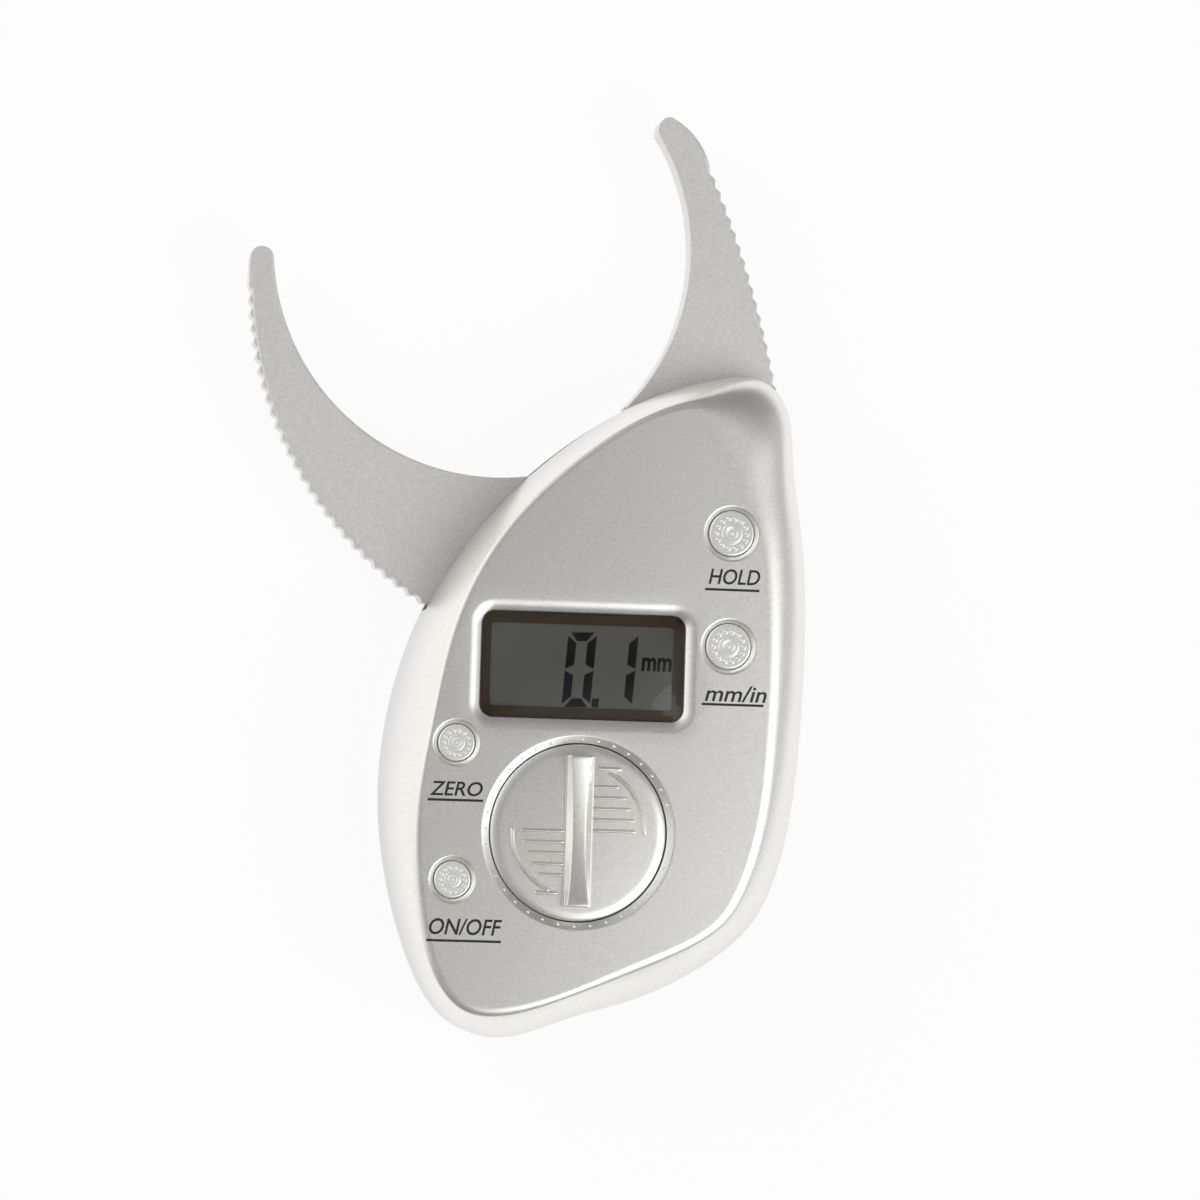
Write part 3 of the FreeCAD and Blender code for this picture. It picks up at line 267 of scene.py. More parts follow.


# silver paint with painted shade: darker and cooler from 24 mm down to the parting line
silverPaint = makeMaterial("silverPaint", (0.91, 0.897, 0.86), 0.34, 0.88, flake=0.26,
                           scale=2200, paintedShade=(12.5, 24.0, (0.80, 0.81, 0.85)))
jawSilver = makeMaterial("jawSilver", (0.76, 0.743, 0.715), 0.42, 0.4, flake=0.32, scale=2200,
                         sockets={"Coat Weight": 0.6, "Coat Roughness": 0.15})
buttonSilver = makeMaterial("buttonSilver", (0.95, 0.95, 0.92), 0.24, 0.5, flake=0.1)
blackPlastic = makeMaterial("blackPlastic", (0.03, 0.03, 0.03), 0.5)
greyPlastic = makeMaterial("greyPlastic", (0.35, 0.35, 0.34), 0.5)
rubber = makeMaterial("rubber", (0.25, 0.1, 0.08), 0.8)
boardGreen = makeMaterial("boardGreen", (0.02, 0.16, 0.05), 0.35, scale=600)
steel = makeMaterial("steel", (0.56, 0.56, 0.57), 0.3, 1.0, flake=0.1)
washerPlastic = makeMaterial("washerPlastic", (0.85, 0.84, 0.8), 0.5)
brass = makeMaterial("brass", (0.8, 0.6, 0.3), 0.3, 1.0, flake=0.1)
dull = {"Specular IOR Level": 0.1}
frameFilm = makeMaterial("frameFilm", (0.054, 0.035, 0.015), 0.5, flake=0.05, sockets=dull)
panelGlass = makeMaterial("panelGlass", (0.125, 0.128, 0.112), 0.5, flake=0.05, sockets=dull)
digitInk = makeMaterial("digitInk", (0.004, 0.004, 0.004), 0.5, sockets=dull)
labelInk = makeMaterial("labelInk", (0.016, 0.016, 0.018), 0.5)
clearPane = makeMaterial("clearPane", (1, 1, 1), 0.02, flake=0, drift=0, bump=0,
                         sockets={"Transmission Weight": 1.0, "IOR": 1.3})

finishes = {
    "return_spring": steel, "main_board": boardGreen, "pivot_pin": steel,
    "pivot_washer": washerPlastic, "encoder_rotor": boardGreen,
    "display_window": clearPane, "display_frame": frameFilm, "lcd_panel": panelGlass,
    "lcd_holder": blackPlastic, "contact_strips": rubber, "controller_chip": blackPlastic,
    "coin_cell": steel, "minus_contact": brass, "plus_contact": brass,
    "tact_switches": greyPlastic, "cover_screws": steel, "jaw_screws": steel,
    "board_screws": steel,
}
for name in ("hold", "unit", "zero", "power"):
    finishes[name + "_switch_plunger"] = blackPlastic

for name in nodes:
    surfaces = nodes[name].data.materials
    surfaces.clear()
    surfaces.append(finishes.get(name, silverPaint))
print("materials made")


# Mesh helpers.  A loop is an array of points that runs anticlockwise; a patch is
# points with its faces.
def around(angle, radius, centre=(0.0, 0.0)):
    return np.stack((np.cos(angle), np.sin(angle)), 1) * radius + centre


def circle(radius, count, centre=(0.0, 0.0)):
    return around(np.arange(count) * 2 * math.pi / count, radius, centre)


def between(first, last, share):
    return first * (1 - share) + last * share


# A curve from start to end that sets out towards the corner and comes in from it
def parabola(start, corner, end, share):
    return start * (1 - share) ** 2 + corner * 2 * share * (1 - share) + end * share ** 2


# From nought to one, level at both ends: three times the square less twice the cube
def easeStep(value):
    value = np.clip(value, 0, 1)
    return value * value * (3 - 2 * value)


# Values along a loop, each the mean over some points around it
def evened(values, reach):
    values = np.concatenate((values[-reach:], values, values[:reach]))
    return np.convolve(values, np.ones(2 * reach + 1) / (2 * reach + 1), "valid")


def raised(flat, height):
    return np.column_stack((flat, np.ones(len(flat)) * height))


# Quads between loops of equal length, stacked one after the other.  They face up
# where the loops go inwards and outwards where the loops go up.
def skin(loops):
    grid = np.asarray(loops)
    rows, columns = grid.shape[:2]
    index = np.arange(rows * columns).reshape(rows, columns)
    following = np.roll(index, -1, 1)
    quads = np.stack((index[:-1], following[:-1], following[1:], index[1:]), -1)
    return grid.reshape(-1, 3), quads.reshape(-1, 4)


# A profile of (radius, height) turned round an upright axis
def turned(profile, count, centre=(0.0, 0.0)):
    return skin([raised(circle(radius, count, centre), height) for radius, height in profile])


# A polyline whose corners are rounded: each becomes a parabola that starts and ends
# a given way before and after it
def softened(corners, rounds, steps=5):
    corners = np.asarray(corners, float)
    share = np.linspace(0, 1, steps + 1)[:, None]
    points = [corners[:1]]
    for before, corner, after, way in zip(corners, corners[1:], corners[2:], rounds):
        start = corner + (before - corner) / np.hypot(*(before - corner)) * way
        end = corner + (after - corner) / np.hypot(*(after - corner)) * way
        points.append(parabola(start, corner, end, share))
    points.append(corners[-1:])
    return np.concatenate(points)


# Triangles that fill the first loop and leave the others open.  A triangle counts as
# inside where a line from its middle crosses the loops' edges an odd number of times.
# A spacing adds a grid of points inside, for a face that is bent afterwards; they keep
# a share of the spacing off the loops.
def filled(loops, height, up=True, spacing=0.0, keepOff=0.4, blocks=8, nearest=1e-6):
    starts = np.concatenate(loops)
    ends = np.concatenate([np.roll(loop, -1, 0) for loop in loops])
    index, edges = 0, []
    for loop in loops:
        here = np.arange(index, index + len(loop))
        edges.append(np.stack((here, np.roll(here, -1)), 1))
        index += len(loop)
    points = starts
    if spacing:
        low, high = starts.min(0), starts.max(0)
        grid = np.meshgrid(*(np.arange(low[i], high[i], spacing) for i in range(2)))
        grid = np.stack([side.ravel() for side in grid], 1)
        near = [np.hypot(*(block[:, None] - starts).T).min(0)
                for block in np.array_split(grid, blocks)]
        points = np.concatenate((starts, grid[np.concatenate(near) > spacing * keepOff]))
    corners, _, faces, *_ = delaunay_2d_cdt(
        points.tolist(), np.concatenate(edges).tolist(), [], 1, nearest)
    corners = np.array([tuple(corner) for corner in corners])
    faces = np.array(faces)
    middle = corners[faces].mean(1)
    rise = ends[:, 1] - starts[:, 1]
    spans = (starts[:, 1] > middle[:, 1, None]) != (ends[:, 1] > middle[:, 1, None])
    share = (middle[:, 1, None] - starts[:, 1]) / np.where(rise == 0, 1, rise)
    crossing = starts[:, 0] + share * (ends[:, 0] - starts[:, 0])
    inside = (spans & (crossing > middle[:, 0, None])).sum(1) % 2 == 1
    faces = faces[inside]
    one, two, three = (corners[faces[:, i]] for i in range(3))
    area = np.cross(two - one, three - one)
    wrong = (area < 0) if up else (area > 0)
    faces[wrong] = faces[wrong][:, ::-1]
    used, faces = np.unique(faces, return_inverse=True)
    return raised(corners[used], height), faces.reshape(-1, 3)


# Loops stacked upwards as a closed solid, whose flat faces leave other loops open
def solid(loops, above=(), below=()):
    first, last = loops[0], loops[-1]
    return [skin(loops), filled([last[:, :2], *above], last[0, 2]),
            filled([first[:, :2], *below], first[0, 2], up=False)]


def makePiece(name, patches, material, body, smooth=32.0, weld=0.002, collapse=0.1):
    index, points, faces = 0, [], []
    for patchPoints, patchFaces in patches:
        points.append(patchPoints)
        faces += [[int(corner) + index for corner in face] for face in patchFaces]
        index += len(patchPoints)
    mesh = bpy.data.meshes.new(name)
    mesh.from_pydata((np.concatenate(points) * mm).tolist(), [], faces)
    work = bmesh.new()
    work.from_mesh(mesh)
    bmesh.ops.remove_doubles(work, verts=work.verts, dist=weld * mm)
    bmesh.ops.dissolve_degenerate(work, edges=work.edges, dist=weld * mm * collapse)
    work.to_mesh(mesh)
    work.free()
    mesh.polygons.foreach_set("use_smooth", np.ones(len(mesh.polygons), bool))
    mesh.set_sharp_from_angle(angle=math.radians(smooth))
    mesh.materials.append(material)
    thing = bpy.data.objects.new(name, mesh)
    bpy.context.scene.collection.objects.link(thing)
    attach(thing, body)
    return thing


# Housing.  The outline gives, anticlockwise from the right side, points of the rim and
# of the top face that it leans in to, as shares of the widths and lengths.
housing = {
    "rightWidth": 36.84, "leftWidth": 35.84, "head": 36.9, "tail": 79.18,
    "parting": 13.25, "roof": 24.0, "top": 26.0, "wall": 2.0, "roofEdge": 1.1,
    "bellyHeight": 0.55,        # where the side is at half its way up, with the belly's lean
    "softSpan": 14.0,           # the top edge's rounding starts lower by its softness over this
    "crown": 0.5, "crownReach": 36.0, "crownFoot": 20.0,
    # rim across, rim along, top across, top along, softness of the top edge, belly's lean
    "outline": (
        (1.000, -0.107, 0.829, -0.107, 1.2, 0.12), (0.970, 0.244, 0.804, 0.222, 1.8, 0.10),
        (0.916, 0.621, 0.761, 0.501, 4.0, 0.10), (0.870, 0.878, 0.696, 0.683, 5.5, 0.08),
        (0.766, 0.984, 0.598, 0.797, 4.0, 0.10), (0.546, 0.984, 0.451, 0.851, 1.2, 0.14),
        (0.274, 0.902, 0.242, 0.799, 0.8, 0.22), (-0.135, 0.661, -0.088, 0.599, 0.8, 0.30),
        (-0.539, 0.282, -0.467, 0.233, 0.8, 0.30), (-0.801, -0.054, -0.685, -0.080, 0.7, 0.30),
        (-0.975, -0.314, -0.801, -0.326, 0.3, 0.28), (-1.000, -0.489, -0.854, -0.490, 0.6, 0.24),
        (-0.901, -0.750, -0.826, -0.745, 1.3, 0.22), (-0.790, -0.879, -0.749, -0.865, 1.4, 0.24),
        (-0.646, -0.965, -0.613, -0.933, 1.3, 0.24), (-0.436, -1.000, -0.436, -0.942, 1.0, 0.25),
        (-0.088, -0.958, -0.122, -0.902, 0.8, 0.27), (0.226, -0.912, 0.177, -0.843, 0.9, 0.29),
        (0.609, -0.818, 0.508, -0.770, 1.0, 0.30), (0.804, -0.729, 0.658, -0.701, 1.1, 0.28),
        (0.891, -0.640, 0.739, -0.609, 1.1, 0.24), (0.984, -0.372, 0.821, -0.360, 1.2, 0.16),
    ),
    "perStation": 20, "evened": 7,      # points per station, and how many on either side are evened
}
centreX = -3.0
facePoints = 2.5        # spacing of the points inside the crowned faces
flatRim = 0.05          # ring of flat face beyond a rounding
display = {
    "y": -14.775, "width": 35.3, "length": 18.35, "corner": 2.3,
    "bevel": 1.2, "bevelDepth": 0.8, "lip": 0.9, "innerLip": 0.15,
}
dial = {
    "y": -43.38, "holeRadius": 15.4, "ringRadius": 16.65, "ringDepth": 0.6, "ringLip": 0.12,
    "ringRim": 0.35, "holeLip": 0.1, "wellDepth": 6.8, "wellWall": 1.6, "wellFillet": 0.3,
    "dots": 36, "dotCircle": 16.05, "dotRadius": 0.27, "dotHeight": 0.24, "dotStart": 9.0,
    "dotSunk": 0.03, "dotRoot": 0.2,
}
displayPlace, dialPlace = (centreX, display["y"]), (centreX, dial["y"])
buttonPlaces = {    # x, y, cap radius
    "hold": (22.12, 8.925, 3.9),
    "unit": (22.12, -10.575, 3.9),
    "zero": (-24.42, -28.58, 3.15),
    "power": (-24.42, -51.98, 3.15),
}
dish = {"gap": 0.16, "width": 0.7, "depth": 0.6, "lip": 0.16, "holeLip": 0.1}


# A closed cubic spline through points that lie the given spans apart.  Its bends at the
# points balance all round, and between two points it is the cubic of its ends' bends.
def closedSpline(points, spans, stations):
    count = len(points)
    row = np.arange(count)
    before = np.roll(spans, 1)
    system = np.zeros((count, count))
    system[row, row] = 2 * (before + spans)
    system[row, row - 1] += before
    system[row, (row + 1) % count] += spans
    slope = (np.roll(points, -1, 0) - points) / spans[:, None]
    bend = np.linalg.solve(system, 6 * (slope - np.roll(slope, 1, 0)))
    first = np.floor(stations).astype(int) % count
    last = (first + 1) % count
    far = (stations - np.floor(stations))[:, None]
    near = 1 - far
    span = spans[first][:, None]
    curve = near * points[first] + far * points[last]
    bow = (near ** 3 - near) * bend[first] + (far ** 3 - far) * bend[last]
    return curve + bow * span ** 2 / 6


def outlineCurves():
    table = np.array(housing["outline"])
    rim, top = table[:, 0:2].copy(), table[:, 2:4].copy()
    for points in (rim, top):
        points[:, 0] *= np.where(points[:, 0] > 0, housing["rightWidth"], housing["leftWidth"])
        points[:, 1] *= np.where(points[:, 1] > 0, housing["head"], housing["tail"])
    spans = np.hypot(*(np.roll(rim, -1, 0) - rim).T)
    count = len(table) * housing["perStation"]
    stations = np.arange(count) / housing["perStation"]
    values = []
    for column in (4, 5):
        closed = np.append(table[:, column], table[0, column])
        value = np.interp(stations, np.arange(len(table) + 1), closed)
        values.append(evened(value, housing["evened"]))
    return closedSpline(rim, spans, stations), closedSpline(top, spans, stations), *values


rimLoop, topLoop, softness, bellyLean = outlineCurves()


# Unit vectors that point into a loop
def inwards(loop):
    way = np.roll(loop, -1, 0) - np.roll(loop, 1, 0)
    way /= np.hypot(*way.T)[:, None]
    return np.stack((-way[:, 1], way[:, 0]), 1)


# The housing's outline, leaning in by a share of the way to the top face's edge
def outline(lean, inset):
    lean = np.asarray(lean)[..., None]
    loop = between(rimLoop, topLoop, lean)
    return loop + inwards(loop) * np.asarray(inset)[..., None]


# The side at a share of the way up: the height follows the parabola and the lean the
# power of the share through nought, their belly value and one
def sideLoop(share, inset, bottom, top):
    rise = share + (housing["bellyHeight"] - 0.5) * 4 * share * (1 - share)
    lean = share ** (np.log(bellyLean) / math.log(0.5))
    return raised(outline(lean, inset), bottom + (top - bottom) * rise)


# Side of the front cover from the parting line up, then a parabola over the edge that
# starts along the side and ends along the flat top
def coverSide():
    bottom, top = housing["parting"], housing["top"]
    reach, slight = 1 - softness / housing["softSpan"], 0.01
    loops = [sideLoop(reach * share, 0.0, bottom, top) for share in np.linspace(0, 1, 15)]
    last = loops[-1]
    step = last - sideLoop(reach - slight, 0.0, bottom, top)
    corner = last + step * ((top - last[:, 2]) / step[:, 2])[:, None]
    way = inwards(topLoop)
    end = raised(topLoop + way * softness[:, None], top)
    loops += [parabola(last, corner, end, share) for share in np.linspace(0, 1, 11)[1:]]
    loops.append(raised(topLoop + way * (softness + flatRim)[:, None], top))
    return loops


# A rectangle with rounded corners, grown outwards all round
def roundedLoop(width, length, corner, centre, grow, perCorner=12, perSide=10):
    bends = []
    for quarter, (side, along) in enumerate(((1, 1), (-1, 1), (-1, -1), (1, -1))):
        middle = np.array(centre) + (side * (width / 2 - corner), along * (length / 2 - corner))
        angle = (quarter + np.linspace(0, 1, perCorner)) * math.pi / 2
        bends.append(around(angle, corner + grow, middle))
    share = np.linspace(0, 1, perSide + 1, endpoint=False)[1:, None]
    pieces = []
    for bend, following in zip(bends, bends[1:] + bends[:1]):
        pieces += [bend, between(bend[-1], following[0], share)]
    return np.concatenate(pieces)


# The top is crowned across: it falls by the square of the way from the middle line, in
# full at the top and by less and less down to the crown's foot
def crowned(patches):
    foot, bent = housing["crownFoot"], []
    for points, faces in patches:
        share = np.clip((points[:, 2] - foot) / (housing["top"] - foot), 0, 1)
        fall = housing["crown"] * ((points[:, 0] - centreX) / housing["crownReach"]) ** 2
        bent.append((np.column_stack((points[:, :2], points[:, 2] - fall * share)), faces))
    return bent


def frontShell():
    top, roof, parting, wall = (housing[key] for key in ("top", "roof", "parting", "wall"))
    inner = [sideLoop(share, wall - (wall - housing["roofEdge"]) * share, parting, roof)
             for share in np.linspace(1, 0, 12)]
    outer = coverSide()
    patches = [skin(inner + outer)]
    holes, roofHoles = [], []

    # display opening: a soft lip, a slanting bevel, then a short upright wall
    bevel, depth, lip = display["bevel"], display["bevelDepth"], display["lip"]
    profile = softened(
        [(bevel + lip, top), (bevel, top), (0, top - depth), (0, roof)], (lip, display["innerLip"]))
    shape = (display["width"], display["length"], display["corner"], displayPlace)
    loops = [raised(roundedLoop(*shape, grow), height) for grow, height in profile]
    patches.append(skin(loops))
    holes.append(loops[0][:, :2])
    roofHoles.append(loops[-1][:, :2])

    # battery well: bevelled ring, wall and floor, and the well's outside below the roof
    hole, ring = dial["holeRadius"], dial["ringRadius"]
    floor, rim, thick = top - dial["wellDepth"], ring + dial["ringRim"], dial["wellWall"]
    profile = softened([
        (rim, top), (ring, top), (hole, top - dial["ringDepth"]), (hole, floor), (0, floor),
    ], (dial["ringLip"], dial["holeLip"], dial["wellFillet"]))
    patches.append(turned(profile, 180, dialPlace))
    holes.append(circle(rim, 180, dialPlace))
    outside, low = hole + thick, floor - thick
    patches.append(turned([(0, low), (outside, low), (outside, roof)], 120, dialPlace))
    roofHoles.append(circle(outside, 120, dialPlace))

    # button holes, each in a small dish
    for x, y, radius in buttonPlaces.values():
        hole = radius + dish["gap"]
        rim = hole + dish["width"]
        edge = rim + dish["lip"] + flatRim
        profile = softened([(edge, top), (rim, top), (hole, top - dish["depth"]), (hole, roof)],
                           (dish["lip"], dish["holeLip"]))
        patches.append(turned(profile, 96, (x, y)))
        holes.append(circle(edge, 96, (x, y)))
        roofHoles.append(circle(hole, 96, (x, y)))

    patches.append(filled([outer[-1][:, :2]] + holes, top, spacing=facePoints))
    patches.append(filled([inner[0][:, :2]] + roofHoles, roof, up=False, spacing=facePoints))
    shell = makePiece("frontShell", crowned(patches), silverPaint, "housing")
    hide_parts("front_cover")


# Raised dots on the bevel round the battery cover: small domes, height falling from
# the middle as a quarter circle
def ringDots():
    rows, columns = 5, 12
    size, height = dial["dotRadius"], dial["dotHeight"]
    level = housing["top"] - dial["ringDepth"] / 2 - dial["dotSunk"]
    root = level - dial["dotRoot"]
    profile = [(0, root), (size, root)]
    for angle in np.linspace(math.pi / 2, 0, rows)[::-1]:
        profile.append((size * math.cos(angle), level + height * math.sin(angle)))
    starts = np.radians(dial["dotStart"] + 360 / dial["dots"] * np.arange(dial["dots"]))
    places = around(starts, dial["dotCircle"], dialPlace)
    patches = crowned([turned(profile, columns, place) for place in places])
    makePiece("ringDots", patches, buttonSilver, "housing", smooth=60)


frontShell()
ringDots()
print("front shell made")


# Jaws
jaws = {
    "bottom": 5.0, "top": 13.0, "innerRadius": 39.5,
    "edge": 0.2, "wideEdge": 0.75, "edgeDrop": 0.4, # rounding above, on the left and the right
    "lowEdge": 2.4, "hiddenEdge": 0.28,             # rounding below, and in the housing
    "footShare": 1.05, "faceMargin": 0.1,           # how far the flat faces stay off the roundings
    "gripPitch": 2.55, "movingGripDepth": 0.6, "fixedGripDepth": 0.45,
    "ledge": 0.6, "ledgeDrop": 0.35,                # step between the top face and the grip
    "roomShare": 0.85,                              # most that a rounding takes of the room inside
    "evenEdge": 4, "evenGrip": 5, "evenRoom": 3,    # points on either side that are evened
    "movingTip": (-57.55, 54.8), "movingTipWidth": 4.15, "movingTipBulge": 0.45,
    "movingTipSmooth": 4.9, "movingOuterRadius": 65.5, "movingHeel": (-30.09, -4.26),
    "movingRoot": (-9.23, 18.99), "hubRadius": 9.4, "hubFront": 48.0, "hubBack": 255.0,
    "bore": 2.55, "boreBevel": 0.3, "pegPlace": (-3.93, 7.99), "pegRadius": 0.8,
    "pegBottom": 3.8, "pegBevel": 0.15, "pegRoot": 0.1,
    "fixedTip": (9.1, 79.3), "fixedNose": (11.3, 82.42), "fixedRoot": (4.73, 31.2),
    "fixedGrip": (18.3, 74.1), "fixedHeel": (31.25, 35.27), "fixedOuterRadius": 175.9,
    "fixedTipBulge": 0.26, "fixedOuterBulge": 0.11,
    "movingFree": (22.0, 30.0),     # the arms are free of the housing from here on
    "fixedFree": (36.5, 42.0),
    "rootCircle": 24.2, "rootLow": 5.0, "rootInset": 2.3, "rootStep": 1.0,
    "cornerStation": 3.3, "screwStations": (1, 6), "headStation": 5, "screwInset": 7.5,
    "screwHole": 1.3, "screwSink": 2.35, "sinkLevel": 11.3,
}


# The circle that passes two points and bulges to the right of the way between them
def arcCentre(first, last, radius):
    chord = last - first
    left = np.array((-chord[1], chord[0])) / np.hypot(*chord)
    return (first + last) / 2 + left * math.sqrt(radius ** 2 - (chord @ chord) / 4)


def arcWay(first, last, radius):
    centre = arcCentre(first, last, radius)
    start, end = first - centre, last - centre
    sweep = math.atan2(start[0] * end[1] - start[1] * end[0], start @ end)
    return centre, math.atan2(start[1], start[0]), sweep


def arc(first, last, radius, step=0.8):
    centre, angle, sweep = arcWay(first, last, radius)
    count = max(2, round(radius * abs(sweep) / step))
    return around(angle + sweep * np.arange(count) / count, radius, centre)


# The same arc, followed from its last point to its first
def arcBack(first, last, radius):
    return np.concatenate((arc(first, last, radius)[1:], last[None]))[::-1]


# An arc whose height over its chord is a share of the chord: its radius is a quarter plus
# the share squared, over twice the share
def bulge(first, last, share, step=0.35):
    chord = np.hypot(*(last - first))
    radius = (0.25 + share ** 2) * chord / (2 * share)
    return arc(first, last, radius, step)


# Finger grip along an arc, as points and how far each dips: a cosine wave between crests
def grip(first, last, radius, depth, perNotch=14):
    centre, angle, sweep = arcWay(first, last, radius)
    notches = max(1, round(radius * abs(sweep) / jaws["gripPitch"]))
    share = np.arange(notches * perNotch) / (notches * perNotch)
    dip = depth * (0.5 - 0.5 * np.cos(2 * math.pi * share * notches))
    return np.column_stack((around(angle + sweep * share, radius, centre), dip))


def straight(first, last, step=1.5):
    count = max(1, round(np.hypot(*(last - first)) / step))
    return between(first, last, np.arange(count)[:, None] / count)


# The two sides' inward normals at each corner of a loop, added
def inwardPair(loop):
    ahead = np.roll(loop, -1, 0) - loop
    ahead /= np.hypot(*ahead.T)[:, None]
    left = np.stack((-ahead[:, 1], ahead[:, 0]), 1)
    return left + np.roll(left, 1, 0)


# A loop moved inwards, each corner by twice the inset over its pair's length squared, so
# that both its sides move by the inset; the least length limits that at a sharp corner
def insetLoop(loop, inset, leastLength=0.9):
    both = inwardPair(loop)
    size = np.maximum(np.hypot(*both.T), leastLength)
    return loop + both * (2 * inset / size ** 2)[:, None]


# The radius of the largest circle inside a loop that touches it at each point: over all
# other points, half their distance squared by how far they lie inwards
def roomInside(loop, least=1e-6, most=100.0):
    both = inwardPair(loop)
    inward = both / np.hypot(*both.T)[:, None]
    way = loop[None] - loop[:, None]
    depth = (way * inward[:, None]).sum(2)
    radius = (way ** 2).sum(2) / (2 * np.where(depth > least, depth, 1))
    return np.where(depth > least, radius, most).min(1)


# How far a loop's edge faces right
def facingRight(loop):
    ahead = np.roll(loop, -1, 0) - np.roll(loop, 1, 0)
    return evened(np.clip(ahead[:, 1] / np.hypot(*ahead.T), 0, 1), jaws["evenEdge"])


# The outline's parts joined: its points, the dip of the grip at each, and how far each
# belongs to the grip
def joined(parts):
    loop = np.concatenate([part[:, :2] for part in parts])
    dip = np.concatenate([
        part[:, 2] if part.shape[1] > 2 else np.zeros(len(part)) for part in parts])
    gripped = np.concatenate([np.full(len(part), part.shape[1] - 2.0) for part in parts])
    return loop, dip, evened(gripped, jaws["evenGrip"])


# A jaw's plate.  From the bottom face up: a wide rounding out of which the grip grows by
# the square of the sine, the wall, a rounding that is broad where the edge faces right,
# and beside the grip a ledge with a rounded step to the top face.  Where the plate is
# narrow they are narrower, by the room inside it.
# A hole is its place and the profile of (radius, height) from the top face down.
def plate(parts, free, holes):
    loop, dip, gripped = joined(parts)
    bottom, top = jaws["bottom"], jaws["top"]
    small = jaws["hiddenEdge"]
    wide = small + (jaws["lowEdge"] - small) * free
    edge = jaws["edge"] + (jaws["wideEdge"] - jaws["edge"]) * facingRight(loop)
    edge = small + (edge - small) * free * (1 - gripped)
    fall = np.minimum(edge, jaws["edgeDrop"])
    drop = jaws["ledgeDrop"] * gripped
    ledge = edge + (jaws["ledge"] - edge) * gripped
    foot, face = wide * jaws["footShare"], ledge + drop + jaws["faceMargin"]
    room = jaws["roomShare"] * roomInside(loop)
    narrowed = np.minimum(1, room / np.maximum(foot, face))
    narrowed = np.minimum(narrowed, evened(narrowed, jaws["evenRoom"]))
    turns = [(math.sin(angle), math.cos(angle)) for angle in np.linspace(0, math.pi / 2, 7)]
    sections = [(foot, bottom)]
    for sine, cosine in turns:
        sections.append((wide * (1 - sine) + dip * sine ** 2, bottom + wide * (1 - cosine)))
    for sine, cosine in turns[::-1]:
        sections.append((dip + edge * (1 - sine), top - drop - fall * (1 - cosine)))
    for sine, cosine in turns:
        sections.append((ledge + drop * (1 - cosine), top - drop * (1 - sine)))
    sections.append((face, top))
    loops = [raised(insetLoop(loop, inset * narrowed), height) for inset, height in sections]
    above = [circle(profile[0][0], 48, place) for place, profile in holes]
    below = [circle(profile[-1][0], 48, place) for place, profile in holes]
    side, *faces = solid(loops, above, below)
    return [side] + [turned(profile, 48, place) for place, profile in holes] + faces


# How far a way out lies past the span in which an arm comes free of the housing
def freeShare(way, span):
    return easeStep((way - span[0]) / (span[1] - span[0]))


def movingJaw():
    bottom, top = jaws["bottom"], jaws["top"]
    tip, heel, root = (np.array(jaws[key]) for key in ("movingTip", "movingHeel", "movingRoot"))
    nose = tip - (jaws["movingTipWidth"], 0)
    outer = jaws["movingOuterRadius"]
    centre, angle, sweep = arcWay(nose, heel, outer)
    start = angle + sweep * jaws["movingTipSmooth"] / (outer * abs(sweep))
    first = centre + np.array((math.cos(start), math.sin(start))) * outer
    hubBack = math.radians(jaws["hubBack"]) - 2 * math.pi
    hub = around(np.linspace(hubBack, math.radians(jaws["hubFront"]), 60), jaws["hubRadius"])
    parts = (
        arc(nose, first, outer), grip(first, heel, outer, jaws["movingGripDepth"]),
        straight(heel, hub[0]), hub[:-1], straight(hub[-1], root),
        arcBack(tip, root, jaws["innerRadius"]), bulge(tip, nose, jaws["movingTipBulge"]),
    )
    free = freeShare(np.hypot(*joined(parts)[0].T), jaws["movingFree"])
    bore, bevel = jaws["bore"], jaws["boreBevel"]
    profile = [
        (bore + bevel, top), (bore, top - bevel), (bore, bottom + bevel), (bore + bevel, bottom)]
    patches = plate(parts, free, [((0, 0), profile)])
    peg, low, bevel = jaws["pegRadius"], jaws["pegBottom"], jaws["pegBevel"]
    root = bottom + jaws["pegRoot"]
    patches.append(turned(
        [(0, low), (peg - bevel, low), (peg, low + bevel), (peg, root), (0, root)],
        24, jaws["pegPlace"]))
    jaw = makePiece("movingJawShape", patches, jawSilver, "jaw")
    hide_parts("moving_jaw")


def stationPoint(station, inset):
    index = int(station * housing["perStation"])
    return outline(0.0, inset)[index]


